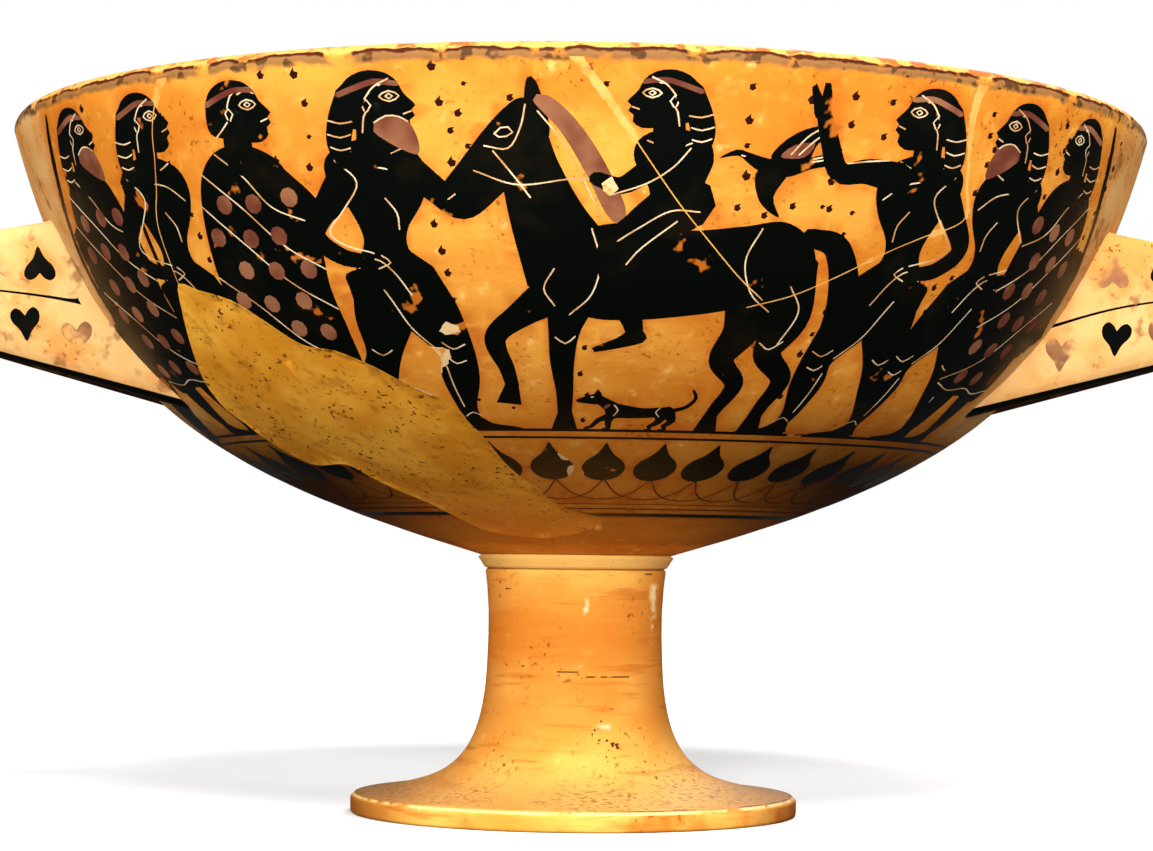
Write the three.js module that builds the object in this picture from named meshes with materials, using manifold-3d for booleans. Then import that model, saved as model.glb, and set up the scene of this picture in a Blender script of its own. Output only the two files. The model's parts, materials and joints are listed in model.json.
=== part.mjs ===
// Greek kylix: a stemmed drinking cup of fired clay with two wishbone handles.
// Millimetres, +Z up. The origin is the centre of the foot's underside, and the handles lie along X.
// Bowl, ring, stem, foot and handles were luted together as wet clay and fired as one, so they are one solid.

import * as THREE from 'three';
import { mergeVertices } from 'three/addons/utils/BufferGeometryUtils.js';
import Module from 'manifold-3d';

// Heights, from the ground up
const STEM_HEIGHT = 46.9; // ground to the underside of the ring
const RING_HEIGHT = 3.0;
const BOWL_DEPTH = 81.1; // top of the ring to the rim, outside

// Bowl: one cubic curve from the ring to the lip, and the angles at which it leaves and arrives
const RIM_RADIUS = 108.7;
const BELLY_ANGLE = 16; // degrees above level, where the bowl leaves the ring
const BELLY_SWEEP = 57;
const LIP_ANGLE = 74; // degrees above level, just below the lip
const LIP_SWEEP = 50;
const LIP_HEIGHT = 2.5; // the rounded lip
const RIM_WALL = 4.0;
const BELLY_WALL = 5.6; // wall where the bowl meets the ring

// Ring and stem
const RING_RADIUS = 19.2;
const RING_TAPER = 0.8; // the ring is narrower by this below
const RING_GROOVE = 0.5; // how far the stem steps in under the ring
const WAIST_RADIUS = 16.8;
const WAIST_HEIGHT = 39;

// Foot
const FOOT_RADIUS = 43;
const FOOT_EDGE = 2.9; // height of the upright edge
const FOOT_BEVEL = 0.8; // bevel between the edge and the top
const FOOT_ARRIS = 0.7; // rounding of the edge below
const FLARE_DROP = 28; // how long the stem stays upright before it flares
const FLARE_RUN = 22.5; // how long the top of the foot stays nearly level
const FLARE_ANGLE = 7; // degrees of the foot's top at its edge
const FOOT_WALL = 3.6;
const STEM_WALL = 7.0;
const FOOT_RECESS = 1.3; // step from the resting ring up into the hollow
const HOLLOW_DOME = 4.5; // height of the hollow's round top

// Handles: a strap that runs between a top and a bottom rail, out along X and back
const HANDLE_SPREAD = 60; // between the two roots' middles
const HANDLE_REACH = 29.5; // tip of the strap beyond the rim
const TOP_ROOT_DROP = 19; // top root below the rim
const BOTTOM_ROOT_DROP = 58.5; // bottom root below the rim
const TOP_SAG = 5; // the top edge sinks by this as it leaves the wall
const BOTTOM_RISE = 9; // the bottom edge climbs by this over its lead
const TIP_DROP = 21.5; // top of the strap's tip below the rim
const TIP_HEIGHT = 14;
const STRAP_THICKNESS = 7.4;
const ROOT_FLARE = 6.5; // extra thickness where the strap grows out of the wall
const ROOT_BITE = 6; // how deep the rails start inside the bowl's outside
const TOP_LEAD = 7; // how far the top rail runs straight out of the wall
const BOTTOM_LEAD = 25;
const TIP_LEAD_X = 4; // how the rails come into the tip
const TIP_LEAD_Y = 14;

// Round knob at each handle's tip
const KNOB_RADIUS = 5.6;
const KNOB_LENGTH = 7.5; // beyond the strap
const KNOB_BITE = 4; // how deep it starts inside the strap

// Fineness of the facets
const TURNS = 56;
const BOWL_STEPS = 11;
const FLARE_STEPS = 9;
const STRAP_STEPS = 11;
const STRAP_SIDES = 14;
const KNOB_SIDES = 16;

const RING_BOTTOM = STEM_HEIGHT;
const RING_TOP = STEM_HEIGHT + RING_HEIGHT;
const CUP_HEIGHT = RING_TOP + BOWL_DEPTH;

const radians = THREE.MathUtils.degToRad;
const point = (r, z) => new THREE.Vector2(r, z);

// A cubic between two points, leaving and arriving along the angles given
function sweep(start, startAngle, startLength, end, endAngle, endLength) {
  const leave = point(Math.cos(startAngle), Math.sin(startAngle)).multiplyScalar(startLength);
  const arrive = point(Math.cos(endAngle), Math.sin(endAngle)).multiplyScalar(endLength);
  return new THREE.CubicBezierCurve(start, start.clone().add(leave), end.clone().sub(arrive), end);
}

// Points of a curve between two parameters, each moved sideways to the curve's left by offset(t)
function points(curve, steps, offset = () => 0, from = 0, to = 1) {
  return Array.from({ length: steps + 1 }, (_, i) => {
    const t = from + (to - from) * i / steps;
    const along = curve.getTangent(t);
    return curve.getPoint(t).add(point(-along.y, along.x).multiplyScalar(offset(t)));
  });
}

// Parameter at which a rising measure of the curve reaches a value
function parameterAt(measure, value) {
  let low = 0;
  let high = 1;
  for (let i = 0; i < 50; i++) {
    const middle = (low + high) / 2;
    if (measure(middle) < value) low = middle;
    else high = middle;
  }
  return (low + high) / 2;
}

const bowlCurve = sweep(
  point(RING_RADIUS, RING_TOP), radians(BELLY_ANGLE), BELLY_SWEEP,
  point(RIM_RADIUS, CUP_HEIGHT - LIP_HEIGHT), radians(LIP_ANGLE), LIP_SWEEP,
);
const bowlWall = (t) => THREE.MathUtils.lerp(BELLY_WALL, RIM_WALL, t);
const bowlRadiusAt = (z) => bowlCurve.getPoint(parameterAt((t) => bowlCurve.getPoint(t).y, z)).x;

// The bowl's inside at a share of the wall's depth: a shallow floor out from the axis, then the wall
function bowlInside(share) {
  const wall = points(bowlCurve, BOWL_STEPS, (t) => share * bowlWall(t));
  const edge = wall[0];
  const drop = Math.tan(radians(BELLY_ANGLE)) * edge.x / 2;
  const floor = [0, 0.5].map((r) => point(r * edge.x, edge.y - drop * (1 - r * r)));
  return [...floor, ...wall];
}

// The round lip, over the top from the wall's outside to its inside
function lip(outside, inside) {
  const middle = outside.clone().add(inside).multiplyScalar(0.5);
  const half = outside.clone().sub(middle);
  const rise = CUP_HEIGHT - middle.y;
  return [45, 90, 135].map((degrees) => {
    const a = radians(degrees);
    return point(middle.x + half.x * Math.cos(a), middle.y + half.y * Math.cos(a) + rise * Math.sin(a));
  });
}

// Stem and foot: straight taper to the waist, then one flare down to the foot's edge
const footTop = point(FOOT_RADIUS - FOOT_BEVEL, FOOT_EDGE + FOOT_BEVEL);
const flareCurve = sweep(
  point(WAIST_RADIUS, WAIST_HEIGHT), radians(-90), FLARE_DROP,
  footTop, radians(-FLARE_ANGLE), FLARE_RUN,
);
const stemTop = point(RING_RADIUS - RING_TAPER - RING_GROOVE, RING_BOTTOM);

// The hollow under the foot, from its round top down to the step of the resting ring
function footHollow() {
  const wall = (t) => -THREE.MathUtils.lerp(STEM_WALL, FOOT_WALL, t);
  const depth = (t) => -points(flareCurve, 1, wall, t, t)[0].y;
  const sides = points(flareCurve, FLARE_STEPS, wall, 0, parameterAt(depth, -FOOT_RECESS));
  const dome = [0, 0.6].map((share) => {
    const rise = HOLLOW_DOME * Math.sqrt(1 - share * share);
    return point(sides[0].x * share, sides[0].y + rise);
  });
  return [...dome, ...sides, point(sides.at(-1).x, 0)];
}

function cupProfile() {
  const outside = points(bowlCurve, BOWL_STEPS);
  const inside = bowlInside(1);
  return [
    ...footHollow(),
    point(FOOT_RADIUS - FOOT_ARRIS, 0),
    point(FOOT_RADIUS, FOOT_ARRIS),
    point(FOOT_RADIUS, FOOT_EDGE),
    ...points(flareCurve, FLARE_STEPS).reverse(),
    stemTop,
    point(RING_RADIUS - RING_TAPER, RING_BOTTOM),
    point(RING_RADIUS, RING_TOP - RING_TAPER),
    ...outside,
    ...lip(outside.at(-1), inside.at(-1)),
    ...inside.reverse(),
  ];
}

// A closed mesh as a solid, with its faces pointing out
function solid(wasm, geometry) {
  const bare = geometry.clone();
  for (const name of ['normal', 'uv']) bare.deleteAttribute(name);
  const merged = mergeVertices(bare, 1e-4);
  const place = merged.getAttribute('position');
  const corners = merged.index.array;
  const triangles = [];
  let volume = 0;
  for (let i = 0; i < corners.length; i += 3) {
    const [a, b, c] = corners.subarray(i, i + 3);
    if (a === b || b === c || c === a) continue;
    triangles.push(a, b, c);
    const [p, q, r] = [a, b, c].map((n) => new THREE.Vector3().fromBufferAttribute(place, n));
    volume += p.dot(q.cross(r));
  }
  if (volume < 0) triangles.reverse();
  const mesh = new wasm.Mesh({
    numProp: 3,
    vertProperties: Float32Array.from(place.array),
    triVerts: Uint32Array.from(triangles),
  });
  return new wasm.Manifold(mesh);
}

function turned(profile, sides) {
  return new THREE.LatheGeometry(profile, sides).rotateX(Math.PI / 2);
}

// Everything inside the middle of the bowl's wall, which trims the handles' roots
function bowlCore() {
  const inside = bowlInside(0.5);
  const above = CUP_HEIGHT + LIP_HEIGHT;
  return turned([...inside, point(inside.at(-1).x, above), point(0, above)], TURNS);
}

// One of the handle's two edges, from its front root inside the wall to the tip
function rail(rootZ, climb, lead, tipZ) {
  const side = -HANDLE_SPREAD / 2;
  const radius = bowlRadiusAt(rootZ) - ROOT_BITE;
  const root = new THREE.Vector3(Math.sqrt(radius * radius - side * side), side, rootZ);
  const tip = new THREE.Vector3(RIM_RADIUS + HANDLE_REACH, 0, tipZ);
  return new THREE.CubicBezierCurve3(
    root,
    new THREE.Vector3(root.x + ROOT_BITE + lead, side, rootZ + climb),
    new THREE.Vector3(tip.x - TIP_LEAD_X, -TIP_LEAD_Y, tipZ - (tipZ - rootZ - climb) / 4),
    tip,
  );
}

// The strap as rings of points round its section, from the front root over the tip to the back root
function strapRings() {
  const tipTop = CUP_HEIGHT - TIP_DROP;
  const top = rail(CUP_HEIGHT - TOP_ROOT_DROP, -TOP_SAG, TOP_LEAD, tipTop);
  const bottom = rail(CUP_HEIGHT - BOTTOM_ROOT_DROP, BOTTOM_RISE, BOTTOM_LEAD, tipTop - TIP_HEIGHT);
  const ring = (t, mirror) => {
    const high = top.getPoint(t);
    const low = bottom.getPoint(t);
    const middle = high.clone().add(low).multiplyScalar(0.5);
    const rise = high.clone().sub(middle);
    const along = t === 1 ? new THREE.Vector3(0, 1, 0) : top.getTangent(t).add(bottom.getTangent(t));
    const across = new THREE.Vector3(along.y, -along.x, 0).normalize();
    const half = (STRAP_THICKNESS + ROOT_FLARE * Math.exp(-9 * t)) / 2;
    return Array.from({ length: STRAP_SIDES }, (_, i) => {
      const a = 2 * Math.PI * i / STRAP_SIDES;
      const round = (value, power) => Math.sign(value) * Math.abs(value) ** power;
      const place = middle.clone()
        .addScaledVector(rise, round(Math.cos(a), 0.55))
        .addScaledVector(across, half * round(Math.sin(a), 0.7));
      if (mirror) place.y = -place.y;
      return place;
    });
  };
  const front = Array.from({ length: STRAP_STEPS + 1 }, (_, i) => ring(i / STRAP_STEPS, false));
  const back = Array.from({ length: STRAP_STEPS }, (_, i) => ring(1 - (i + 1) / STRAP_STEPS, true));
  return [...front, ...back];
}

// A skin over rings of points, with a fan over each end
function skin(rings) {
  const sides = rings[0].length;
  const vertices = rings.flat();
  const faces = [];
  for (let i = 0; i + 1 < rings.length; i++) {
    for (let j = 0; j < sides; j++) {
      const [a, b] = [i * sides + j, i * sides + (j + 1) % sides];
      faces.push(a, b, b + sides, a, b + sides, a + sides);
    }
  }
  const last = (rings.length - 1) * sides;
  for (let j = 1; j + 1 < sides; j++) {
    faces.push(0, j + 1, j, last, last + j, last + j + 1);
  }
  const geometry = new THREE.BufferGeometry().setFromPoints(vertices);
  geometry.setIndex(faces);
  return geometry;
}

// A small round-ended knob on the strap's tip, its axis along X
function knob() {
  const steps = 5;
  const dome = Array.from({ length: steps }, (_, i) => {
    const a = Math.PI / 2 * i / steps;
    return point(KNOB_RADIUS * Math.cos(a), KNOB_LENGTH - KNOB_RADIUS * (1 - Math.sin(a)));
  });
  const profile = [point(0, -KNOB_BITE), point(KNOB_RADIUS * 0.8, -KNOB_BITE), ...dome, point(0, KNOB_LENGTH)];
  const tip = RIM_RADIUS + HANDLE_REACH + STRAP_THICKNESS / 2;
  const z = CUP_HEIGHT - TIP_DROP - TIP_HEIGHT / 2;
  return new THREE.LatheGeometry(profile, KNOB_SIDES).rotateZ(-Math.PI / 2).translate(tip, 0, z);
}

// One handle, trimmed at the middle of the bowl's wall
function handle(wasm) {
  return solid(wasm, skin(strapRings())).add(solid(wasm, knob())).subtract(solid(wasm, bowlCore()));
}

function firedClay() {
  return new THREE.MeshStandardMaterial({ color: 0xe39a45, roughness: 0.5, metalness: 0 });
}

async function kylix() {
  const wasm = await Module();
  wasm.setup();
  const right = handle(wasm);
  const left = right.rotate([0, 0, 180]);
  const cup = solid(wasm, turned(cupProfile(), TURNS)).add(right).add(left);
  const { vertProperties, triVerts } = cup.getMesh();
  const geometry = new THREE.BufferGeometry();
  geometry.setAttribute('position', new THREE.BufferAttribute(vertProperties, 3));
  geometry.setIndex(new THREE.BufferAttribute(triVerts, 1));
  geometry.computeVertexNormals();
  const mesh = new THREE.Mesh(geometry, firedClay());
  mesh.name = 'kylix_cup';
  const group = new THREE.Group();
  group.add(mesh);
  return group;
}

export default await kylix();
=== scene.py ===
# %% [markdown]
# # A painted Greek drinking cup
# This lesson dresses a turned clay cup: a wide bowl on a ringed stem and a flared foot, with two
# broad handles. The whole cup is fired clay, so it becomes one mesh. Its painting is worked out
# flat, cut into triangles along every brush stroke, and only then thrown on the wheel, as if a
# printed label were wrapped round the wall. That keeps each edge of paint sharp from close by.

# %% Set up
import json
import math
import random
import bpy
import bmesh
import numpy as np
from mathutils import Matrix, Vector
from mathutils.geometry import delaunay_2d_cdt

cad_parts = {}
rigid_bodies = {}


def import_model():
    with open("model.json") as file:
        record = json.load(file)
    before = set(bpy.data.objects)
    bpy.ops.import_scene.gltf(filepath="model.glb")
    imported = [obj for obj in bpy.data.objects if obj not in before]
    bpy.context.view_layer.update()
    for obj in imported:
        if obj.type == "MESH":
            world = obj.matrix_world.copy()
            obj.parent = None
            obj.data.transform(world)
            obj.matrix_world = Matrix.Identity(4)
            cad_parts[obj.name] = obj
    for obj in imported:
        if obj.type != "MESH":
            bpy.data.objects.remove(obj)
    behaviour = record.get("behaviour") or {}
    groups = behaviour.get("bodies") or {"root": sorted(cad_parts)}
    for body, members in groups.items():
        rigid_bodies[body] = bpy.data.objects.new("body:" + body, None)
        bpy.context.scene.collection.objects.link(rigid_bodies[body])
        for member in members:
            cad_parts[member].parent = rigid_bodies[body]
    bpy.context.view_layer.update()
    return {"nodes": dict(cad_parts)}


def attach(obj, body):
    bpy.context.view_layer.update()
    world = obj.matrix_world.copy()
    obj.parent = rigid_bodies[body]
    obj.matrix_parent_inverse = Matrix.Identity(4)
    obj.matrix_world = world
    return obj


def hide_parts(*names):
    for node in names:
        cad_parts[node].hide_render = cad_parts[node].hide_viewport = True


for thing in list(bpy.data.objects):
    bpy.data.objects.remove(thing)
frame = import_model()
chance = random.Random(7)
print("solids to dress:", list(frame["nodes"]))

# %% [markdown]
# ## Sizes
# Lengths are in millimetres, as a potter would measure them, and become metres only when a mesh
# is made. They repeat the sizes of the plain solid, so the dressed cup fits it. Turns round the
# cup are counted from the front, and are positive to the viewer's right.

# %% Sizes of the cup
MM = 0.001
RING_BOTTOM, RING_TOP, RIM_HEIGHT = 46.9, 49.9, 131.0
RIM_RADIUS, RIM_WALL, BELLY_WALL, LIP_HEIGHT = 108.7, 4.0, 5.6, 2.5
RING_RADIUS, RING_TAPER, RING_GROOVE = 19.2, 0.8, 0.5
WAIST_RADIUS, WAIST_HEIGHT = 16.8, 39.0
FOOT_RADIUS, FOOT_EDGE, FOOT_BEVEL, FOOT_ARRIS = 43.0, 2.9, 0.8, 0.7
FOOT_WALL, STEM_WALL, FOOT_RECESS, HOLLOW_DOME = 3.6, 7.0, 1.3, 4.5
HANDLE_SPREAD, HANDLE_REACH, STRAP_THICKNESS, ROOT_FLARE = 60.0, 29.5, 7.4, 6.5
KNOB_RADIUS, KNOB_LENGTH, KNOB_BITE = 5.6, 7.5, 4.0
print("cup", RIM_HEIGHT, "high and", 2 * RIM_RADIUS, "across the rim")

# %% [markdown]
# ## The section
# A thrown cup is half a section, spun. The section is drawn once: from the middle of the hollow
# under the foot, out over the resting ring, up the stem and the wall, over the lip, and down
# inside to the middle of the floor. Bowl and foot are cubic curves, the inner faces are the same
# curves moved inward by the wall's thickness, and each corner is softened as wet clay is.

# %% Curves of the section
def bent(p, t):
    """Points at shares t of the curve from p[0] to p[3] that p[1] and p[2] pull at."""
    return (1 - t) ** 3 * p[0] + 3 * (1 - t) ** 2 * t * p[1] + 3 * (1 - t) * t * t * p[2] + t ** 3 * p[3]


def cubic(start, start_angle, start_length, end, end_angle, end_length, steps):
    """A curve that leaves and arrives at given angles; a longer length holds its angle longer."""
    a, b = math.radians(start_angle), math.radians(end_angle)
    first_pull = (start[0] + start_length * math.cos(a), start[1] + start_length * math.sin(a))
    last_pull = (end[0] - end_length * math.cos(b), end[1] - end_length * math.sin(b))
    return bent(np.array([start, first_pull, last_pull, end]), np.linspace(0, 1, steps + 1)[:, None])


def moved(curve, offsets):
    """The curve moved sideways, to the left of its run, by an offset at each point."""
    along = np.gradient(curve, axis=0)
    along /= np.linalg.norm(along, axis=1)[:, None]
    return curve + np.stack([-along[:, 1], along[:, 0]], 1) * np.asarray(offsets)[:, None]


def softened(corner, before, after, size):
    """Four points that round a corner off by a size, as wet clay would."""
    corner, before, after = (np.array(p, float) for p in (corner, before, after))
    a = corner + (before - corner) / np.linalg.norm(before - corner) * size
    b = corner + (after - corner) / np.linalg.norm(after - corner) * size
    return [(1 - t) ** 2 * a + 2 * t * (1 - t) * corner + t * t * b for t in (0, 0.33, 0.67, 1)]


WALL_STEPS, FLARE_STEPS = 120, 48
WALL_LEAVES, WALL_ARRIVES = 16, 74  # degrees above level at the ring and at the lip
wall_top = (RIM_RADIUS, RIM_HEIGHT - LIP_HEIGHT)
wall = cubic((RING_RADIUS, RING_TOP), WALL_LEAVES, 57, wall_top, WALL_ARRIVES, 50, WALL_STEPS)
inner_wall = moved(wall, np.linspace(BELLY_WALL, RIM_WALL, WALL_STEPS + 1))[::-1]
foot_top = (FOOT_RADIUS - FOOT_BEVEL, FOOT_EDGE + FOOT_BEVEL)
flare = cubic((WAIST_RADIUS, WAIST_HEIGHT), -90, 28, foot_top, -7, 22.5, FLARE_STEPS)
print("the wall rises from", wall[0].round(1), "to", wall[-1].round(1))

# %% The whole section, and where the painted wall begins and ends
hollow = moved(flare, -np.linspace(STEM_WALL, FOOT_WALL, FLARE_STEPS + 1))
hollow = hollow[hollow[:, 1] > FOOT_RECESS]
recess = (hollow[-1][0], FOOT_RECESS)
dome = [(hollow[0][0] * k, hollow[0][1] + HOLLOW_DOME * math.sqrt(1 - k * k))
        for k in (0, 0.35, 0.65, 0.85, 0.96)]
under = [*dome, *hollow, *softened((recess[0], 0), recess, (40, 0), 0.3), (37, 0),
         *softened((FOOT_RADIUS, 0), (37, 0), (FOOT_RADIUS, 3), FOOT_ARRIS)]
neck = RING_RADIUS - RING_TAPER - RING_GROOVE - 0.4
stem = [*softened((FOOT_RADIUS, FOOT_EDGE), (FOOT_RADIUS, 0), foot_top, 0.2), *flare[::-1],
        (neck - 0.35, 43.5), (neck - 0.02, RING_BOTTOM - 0.4), (neck - 0.1, RING_BOTTOM - 0.1),
        (neck - 0.35, RING_BOTTOM + 0.05), (neck - 0.3, RING_BOTTOM + 0.25),
        (neck + 0.12, RING_BOTTOM + 0.35),
        (neck + 0.4, RING_BOTTOM + 0.7), (neck + 0.95, RING_BOTTOM + 1.6),
        (RING_RADIUS - 0.35, RING_TOP - 0.85),
        (RING_RADIUS - 0.3, RING_TOP - 0.6), (RING_RADIUS - 0.75, RING_TOP - 0.4),
        (RING_RADIUS - 0.7, RING_TOP - 0.2)]
middle, half = (wall[-1] + inner_wall[0]) / 2, (wall[-1] - inner_wall[0]) / 2
rise = np.array([0, RIM_HEIGHT - middle[1]])
lip = [middle + half * math.cos(a) + rise * math.sin(a) for a in np.linspace(0, math.pi, 12)[1:-1]]
bottom = inner_wall[-1]
floor_drop = math.tan(math.radians(WALL_LEAVES)) * bottom[0] / 2
floor = [(bottom[0] * k, bottom[1] - floor_drop * (1 - k * k)) for k in (0.85, 0.7, 0.5, 0.3, 0.15, 0)]
section = np.array([*under, *stem, *wall, *lip, *inner_wall, *floor])
along = np.r_[0, np.cumsum(np.hypot(*np.diff(section, axis=0).T))]
STEM_START = along[len(under) - 1]
WALL_START = along[len(under) + len(stem)]
WALL_END = along[len(under) + len(stem) + len(wall) - 1]
LIP_TOP = along[len(under) + len(stem) + len(wall) + len(lip) // 2]
print("the section is", round(along[-1], 1), "mm long, its wall from", round(WALL_START, 1), "to",
      round(WALL_END, 1))


def radius_at(s):
    """The cup's radius at a distance along the section."""
    return np.interp(s, along, section[:, 0])


# %% [markdown]
# ## A flat sheet to paint on
# Painting goes on a flat sheet: across it runs the turn round the cup, and up it the distance
# along the section. One turn is 2 pi times 100 mm wide, about the cup's true width near the rim.
# A brush stroke is a smooth line with a width at each point, and becomes an outline with round
# ends. A filled shape is a smooth closed line. Both are lists of corners, which the next steps
# can move, squeeze and cut with.

# %% Brush strokes and filled shapes as outlines
TURN = 100.0  # sheet millimetres for a turn of one radian
EDGE = TURN * math.pi
SCRATCH = 0.23  # width of a line cut through the black with a point
THINNEST = 0.15  # no stroke is drawn thinner than this


def smooth(points, closed=False, step=0.85):
    """A smooth curve through points; a width given with them is carried along."""
    p = np.array(points, float)
    n = len(p)
    closed = closed and n > 2
    curve = []
    for i in range(n if closed else n - 1):
        b, c = p[i], p[(i + 1) % n]
        a = p[i - 1] if i or closed else 2 * b - c
        d = p[(i + 2) % n] if closed or i + 2 < n else 2 * c - b
        pieces = max(1, round(math.dist(b[:2], c[:2]) / step))
        for t in np.arange(pieces) / pieces:
            curve.append(0.5 * (2 * b + (c - a) * t + (2 * a - 5 * b + 4 * c - d) * t * t
                                + (3 * b - a - 3 * c + d) * t ** 3))
    return np.array(curve if closed else curve + [p[-1]])


def stroke(points, step=0.85):
    """The outline of a brush stroke through points of x, y and width, with round ends."""
    line = smooth(points, step=step)
    along_line = np.gradient(line[:, :2], axis=0)
    along_line /= np.linalg.norm(along_line, axis=1)[:, None] + 1e-9
    side = np.stack([-along_line[:, 1], along_line[:, 0]], 1)
    width = np.maximum(line[:, 2:3], THINNEST) / 2
    ends = []
    for at, way, w in ((line[-1, :2], along_line[-1], width[-1, 0]),
                       (line[0, :2], -along_line[0], width[0, 0])):
        turns = math.pi * (np.arange(3 if w > 0.6 else 1) + 1) / (4 if w > 0.6 else 2)
        ends.append([at + w * (math.cos(a) * np.array([-way[1], way[0]]) + math.sin(a) * way) for a in turns])
    return np.array([*(line[:, :2] + side * width), *ends[0], *(line[:, :2] - side * width)[::-1], *ends[1]])


def ragged(outline, amount):
    """An outline whose corners wander by up to an amount, as a broken or worn edge does."""
    return outline + [(chance.uniform(-amount, amount), chance.uniform(-amount, amount)) for _ in outline]


print("a stroke of three points has", len(stroke([(0, 0, 1), (4, 1, 2), (9, 0, 1)])), "corners")

# %% [markdown]
# Drawings are written as lines of text: a paint, a form, and points. `limb` is a stroke with a
# width at each point, `line` is a fine scratch, `shape` is a smooth outline, `corners` a straight
# one, and `spot` a round dab. A line that starts with a space goes on with the points of the line
# before it. Later marks lie over earlier ones, as paint does.

# %% Reading a drawing
def outlines(drawing, x=0.0, y=0.0, scale=1.0, mirrored=False):
    """The paint and outline of each mark of a drawing, set down at x and y."""
    found = []
    for line in drawing.strip().replace("\n ", " ").splitlines():
        paint, form, *rest = line.split()
        points = [[float(v) * scale for v in p.split(",")] for p in rest]
        points = [[x + (-p[0] if mirrored else p[0]), y + p[1], *p[2:]] for p in points]
        if form == "limb":
            found.append((paint, stroke(points)))
        elif form == "line":
            found.append((paint, stroke([[p[0], p[1], SCRATCH] for p in points])))
        elif form == "shape":
            found.append((paint, smooth(points, closed=True)))
        elif form == "corners":
            found.append((paint, np.array(points)))
        elif form == "spot":
            (cx, cy, r), = points
            turns = np.arange(9) * math.tau / 9
            found.append((paint, np.stack([cx + r * np.cos(turns), cy + 1.15 * r * np.sin(turns)], 1)))
    return found


HEAD = """
black limb 0,-4,5 0.3,-1,4.9 0.6,1.5,5
black shape -4.1,0.6 -4.3,4.2 -3.1,7.2 -0.4,8.7 2.6,8.4 4.4,6.9 5.1,5.2 6.7,3.2 6.1,2.5 6.5,1.6 5.7,0.9
  5.8,-0.2 4.4,-1.3 2,-1.2 -0.6,-0.6
cut line 1.7,4.7 2.2,5.2 3.1,5.5 4,5.2 4.5,4.7 4,4.2 3.1,3.9 2.2,4.2 1.7,4.7
cut line 2.6,4.7 3.1,5.1 3.6,4.7 3.1,4.3 2.6,4.7
cut line 1.7,6.4 3,6.9 4.4,6.4
cut line 6,2.3 4.9,1.9
cut line -0.2,2.4 0.4,3.4 -0.2,4.3 -0.9,3.6 -0.6,2.6
"""
LONG_HAIR = """
black limb -2.4,5,4.4 -4.2,1,4 -4.9,-2.5,3.6 -4.6,-5.4,2
purple limb -4.2,5.2,0.9 -1.6,6.2,0.9 1.2,7,0.9 4.2,6.6,0.8
cut line -1.2,-0.8 -0.8,1.6 -0.4,2.4
cut line -0.4,4.4 1,6.2 3.2,7.4
cut line -6.2,1.4 -4.4,0.8 -2.6,1
cut line -6.4,-0.8 -4.6,-1.4 -3,-1
cut line -6.2,-2.8 -4.8,-3.4 -3.3,-3.1
"""
SHORT_HAIR = """
cut line -3.4,-0.2 -2,1 -0.8,2.2
cut line -0.4,4.4 0.4,6.2 2.2,7.3 4.2,7.2
purple limb -3.9,5.2,0.9 -1.4,6.3,0.9 1.4,7.1,0.9 4,6.9,0.8
"""
BEARD = """
purple shape 0.6,0.6 2.4,1.6 4.2,1.4 5.6,0.6 6.6,-2.2 6.4,-4.4 4.2,-3.6 1.8,-2 0.4,-0.6
cut line 0.6,0.7 2.4,1.7 4.2,1.5 5.4,0.7
"""
print("a head has", len(outlines(HEAD)), "marks")

# %% Bodies, arms and a cloak
BARE_BODY = """
black limb -0.6,31,10.6 -2.9,24,9.2 -4.7,17.5,5.8 -6.9,12.5,6 -8.6,6.5,3.8 -9.2,2.8,2.7
black shape -10.9,0.2 -11,1.8 -9.9,3.8 -7.9,3.5 -6.2,1.8 -2.8,1 -1.2,0.5 -2,0.1
black limb 1.8,31,10.8 5,24.4,9.2 7.4,17.8,5.9 6.9,12.4,6.1 6.4,6.4,3.6 6.8,2.8,2.7
black shape 5,0.2 4.9,1.9 5.8,3.8 8,3.5 9.8,1.8 13.2,1 14.8,0.5 14,0.1
black shape -5.8,33 -6.9,30 -5.6,26 1,26 6,28 6,33
cut line -2.8,32.5 -0.6,27.5 1.4,22.5 4.6,18.2
cut line 5.5,19.8 7,18.5 9,19.4
cut line 6,16.6 7,15.6 8.6,16.2
cut line -6.3,18.6 -4.8,17.4 -3,18.4
cut line 5.2,15 5.4,10.5 5.9,6
cut line -7.2,15 -7.8,11 -8.8,6.6
cut line 5.6,3.6 7,4.6 8.2,3.8
black shape -5,33.5 -3,38 -4.3,43 -6.9,47.6 -6.7,51.2 -3.8,53.2 0,54 3.6,53.2 6.6,51.2 7.6,47.8 6.4,43.8
  3.8,39.6 3.5,36.4 5.6,33.4 5.8,30 -5.6,30
cut line -3.6,52.4 -0.8,50.8 2.6,51.4 4.8,52.4
cut line 0.2,49.6 3.4,48.6 6.2,46.2
cut line -4.6,33.4 -1.8,34.8 0.6,32.6 2.6,28.6
cut line 1.2,44.6 2.6,42.2 2.6,39.6
"""
ARM_FORWARD = """
black limb 4.4,49.6,5 8.4,45.8,4 12,42.6,3.2 16.4,45.8,2.7 20,49.4,2.2
black shape 19.2,48.4 18.8,50.6 20.6,53.4 21.4,55.4 22,54.8 21.8,52.8 23.2,54.6 23.8,54 22.8,51.4 21.6,49
"""
ARM_ON_HIP = """
black limb -3.2,49.6,5.2 -7,44.6,4.2 -10.4,39.4,3.4 -7.2,35.6,2.9 -3,34.4,2.4
cut line -5.4,50.8 -2.6,47.2 -5.2,43 -8,39.6 -6.2,37.4 -1.8,35.8
cut line -1.6,33.2 0.4,34.2 -0.8,35.4
"""
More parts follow.
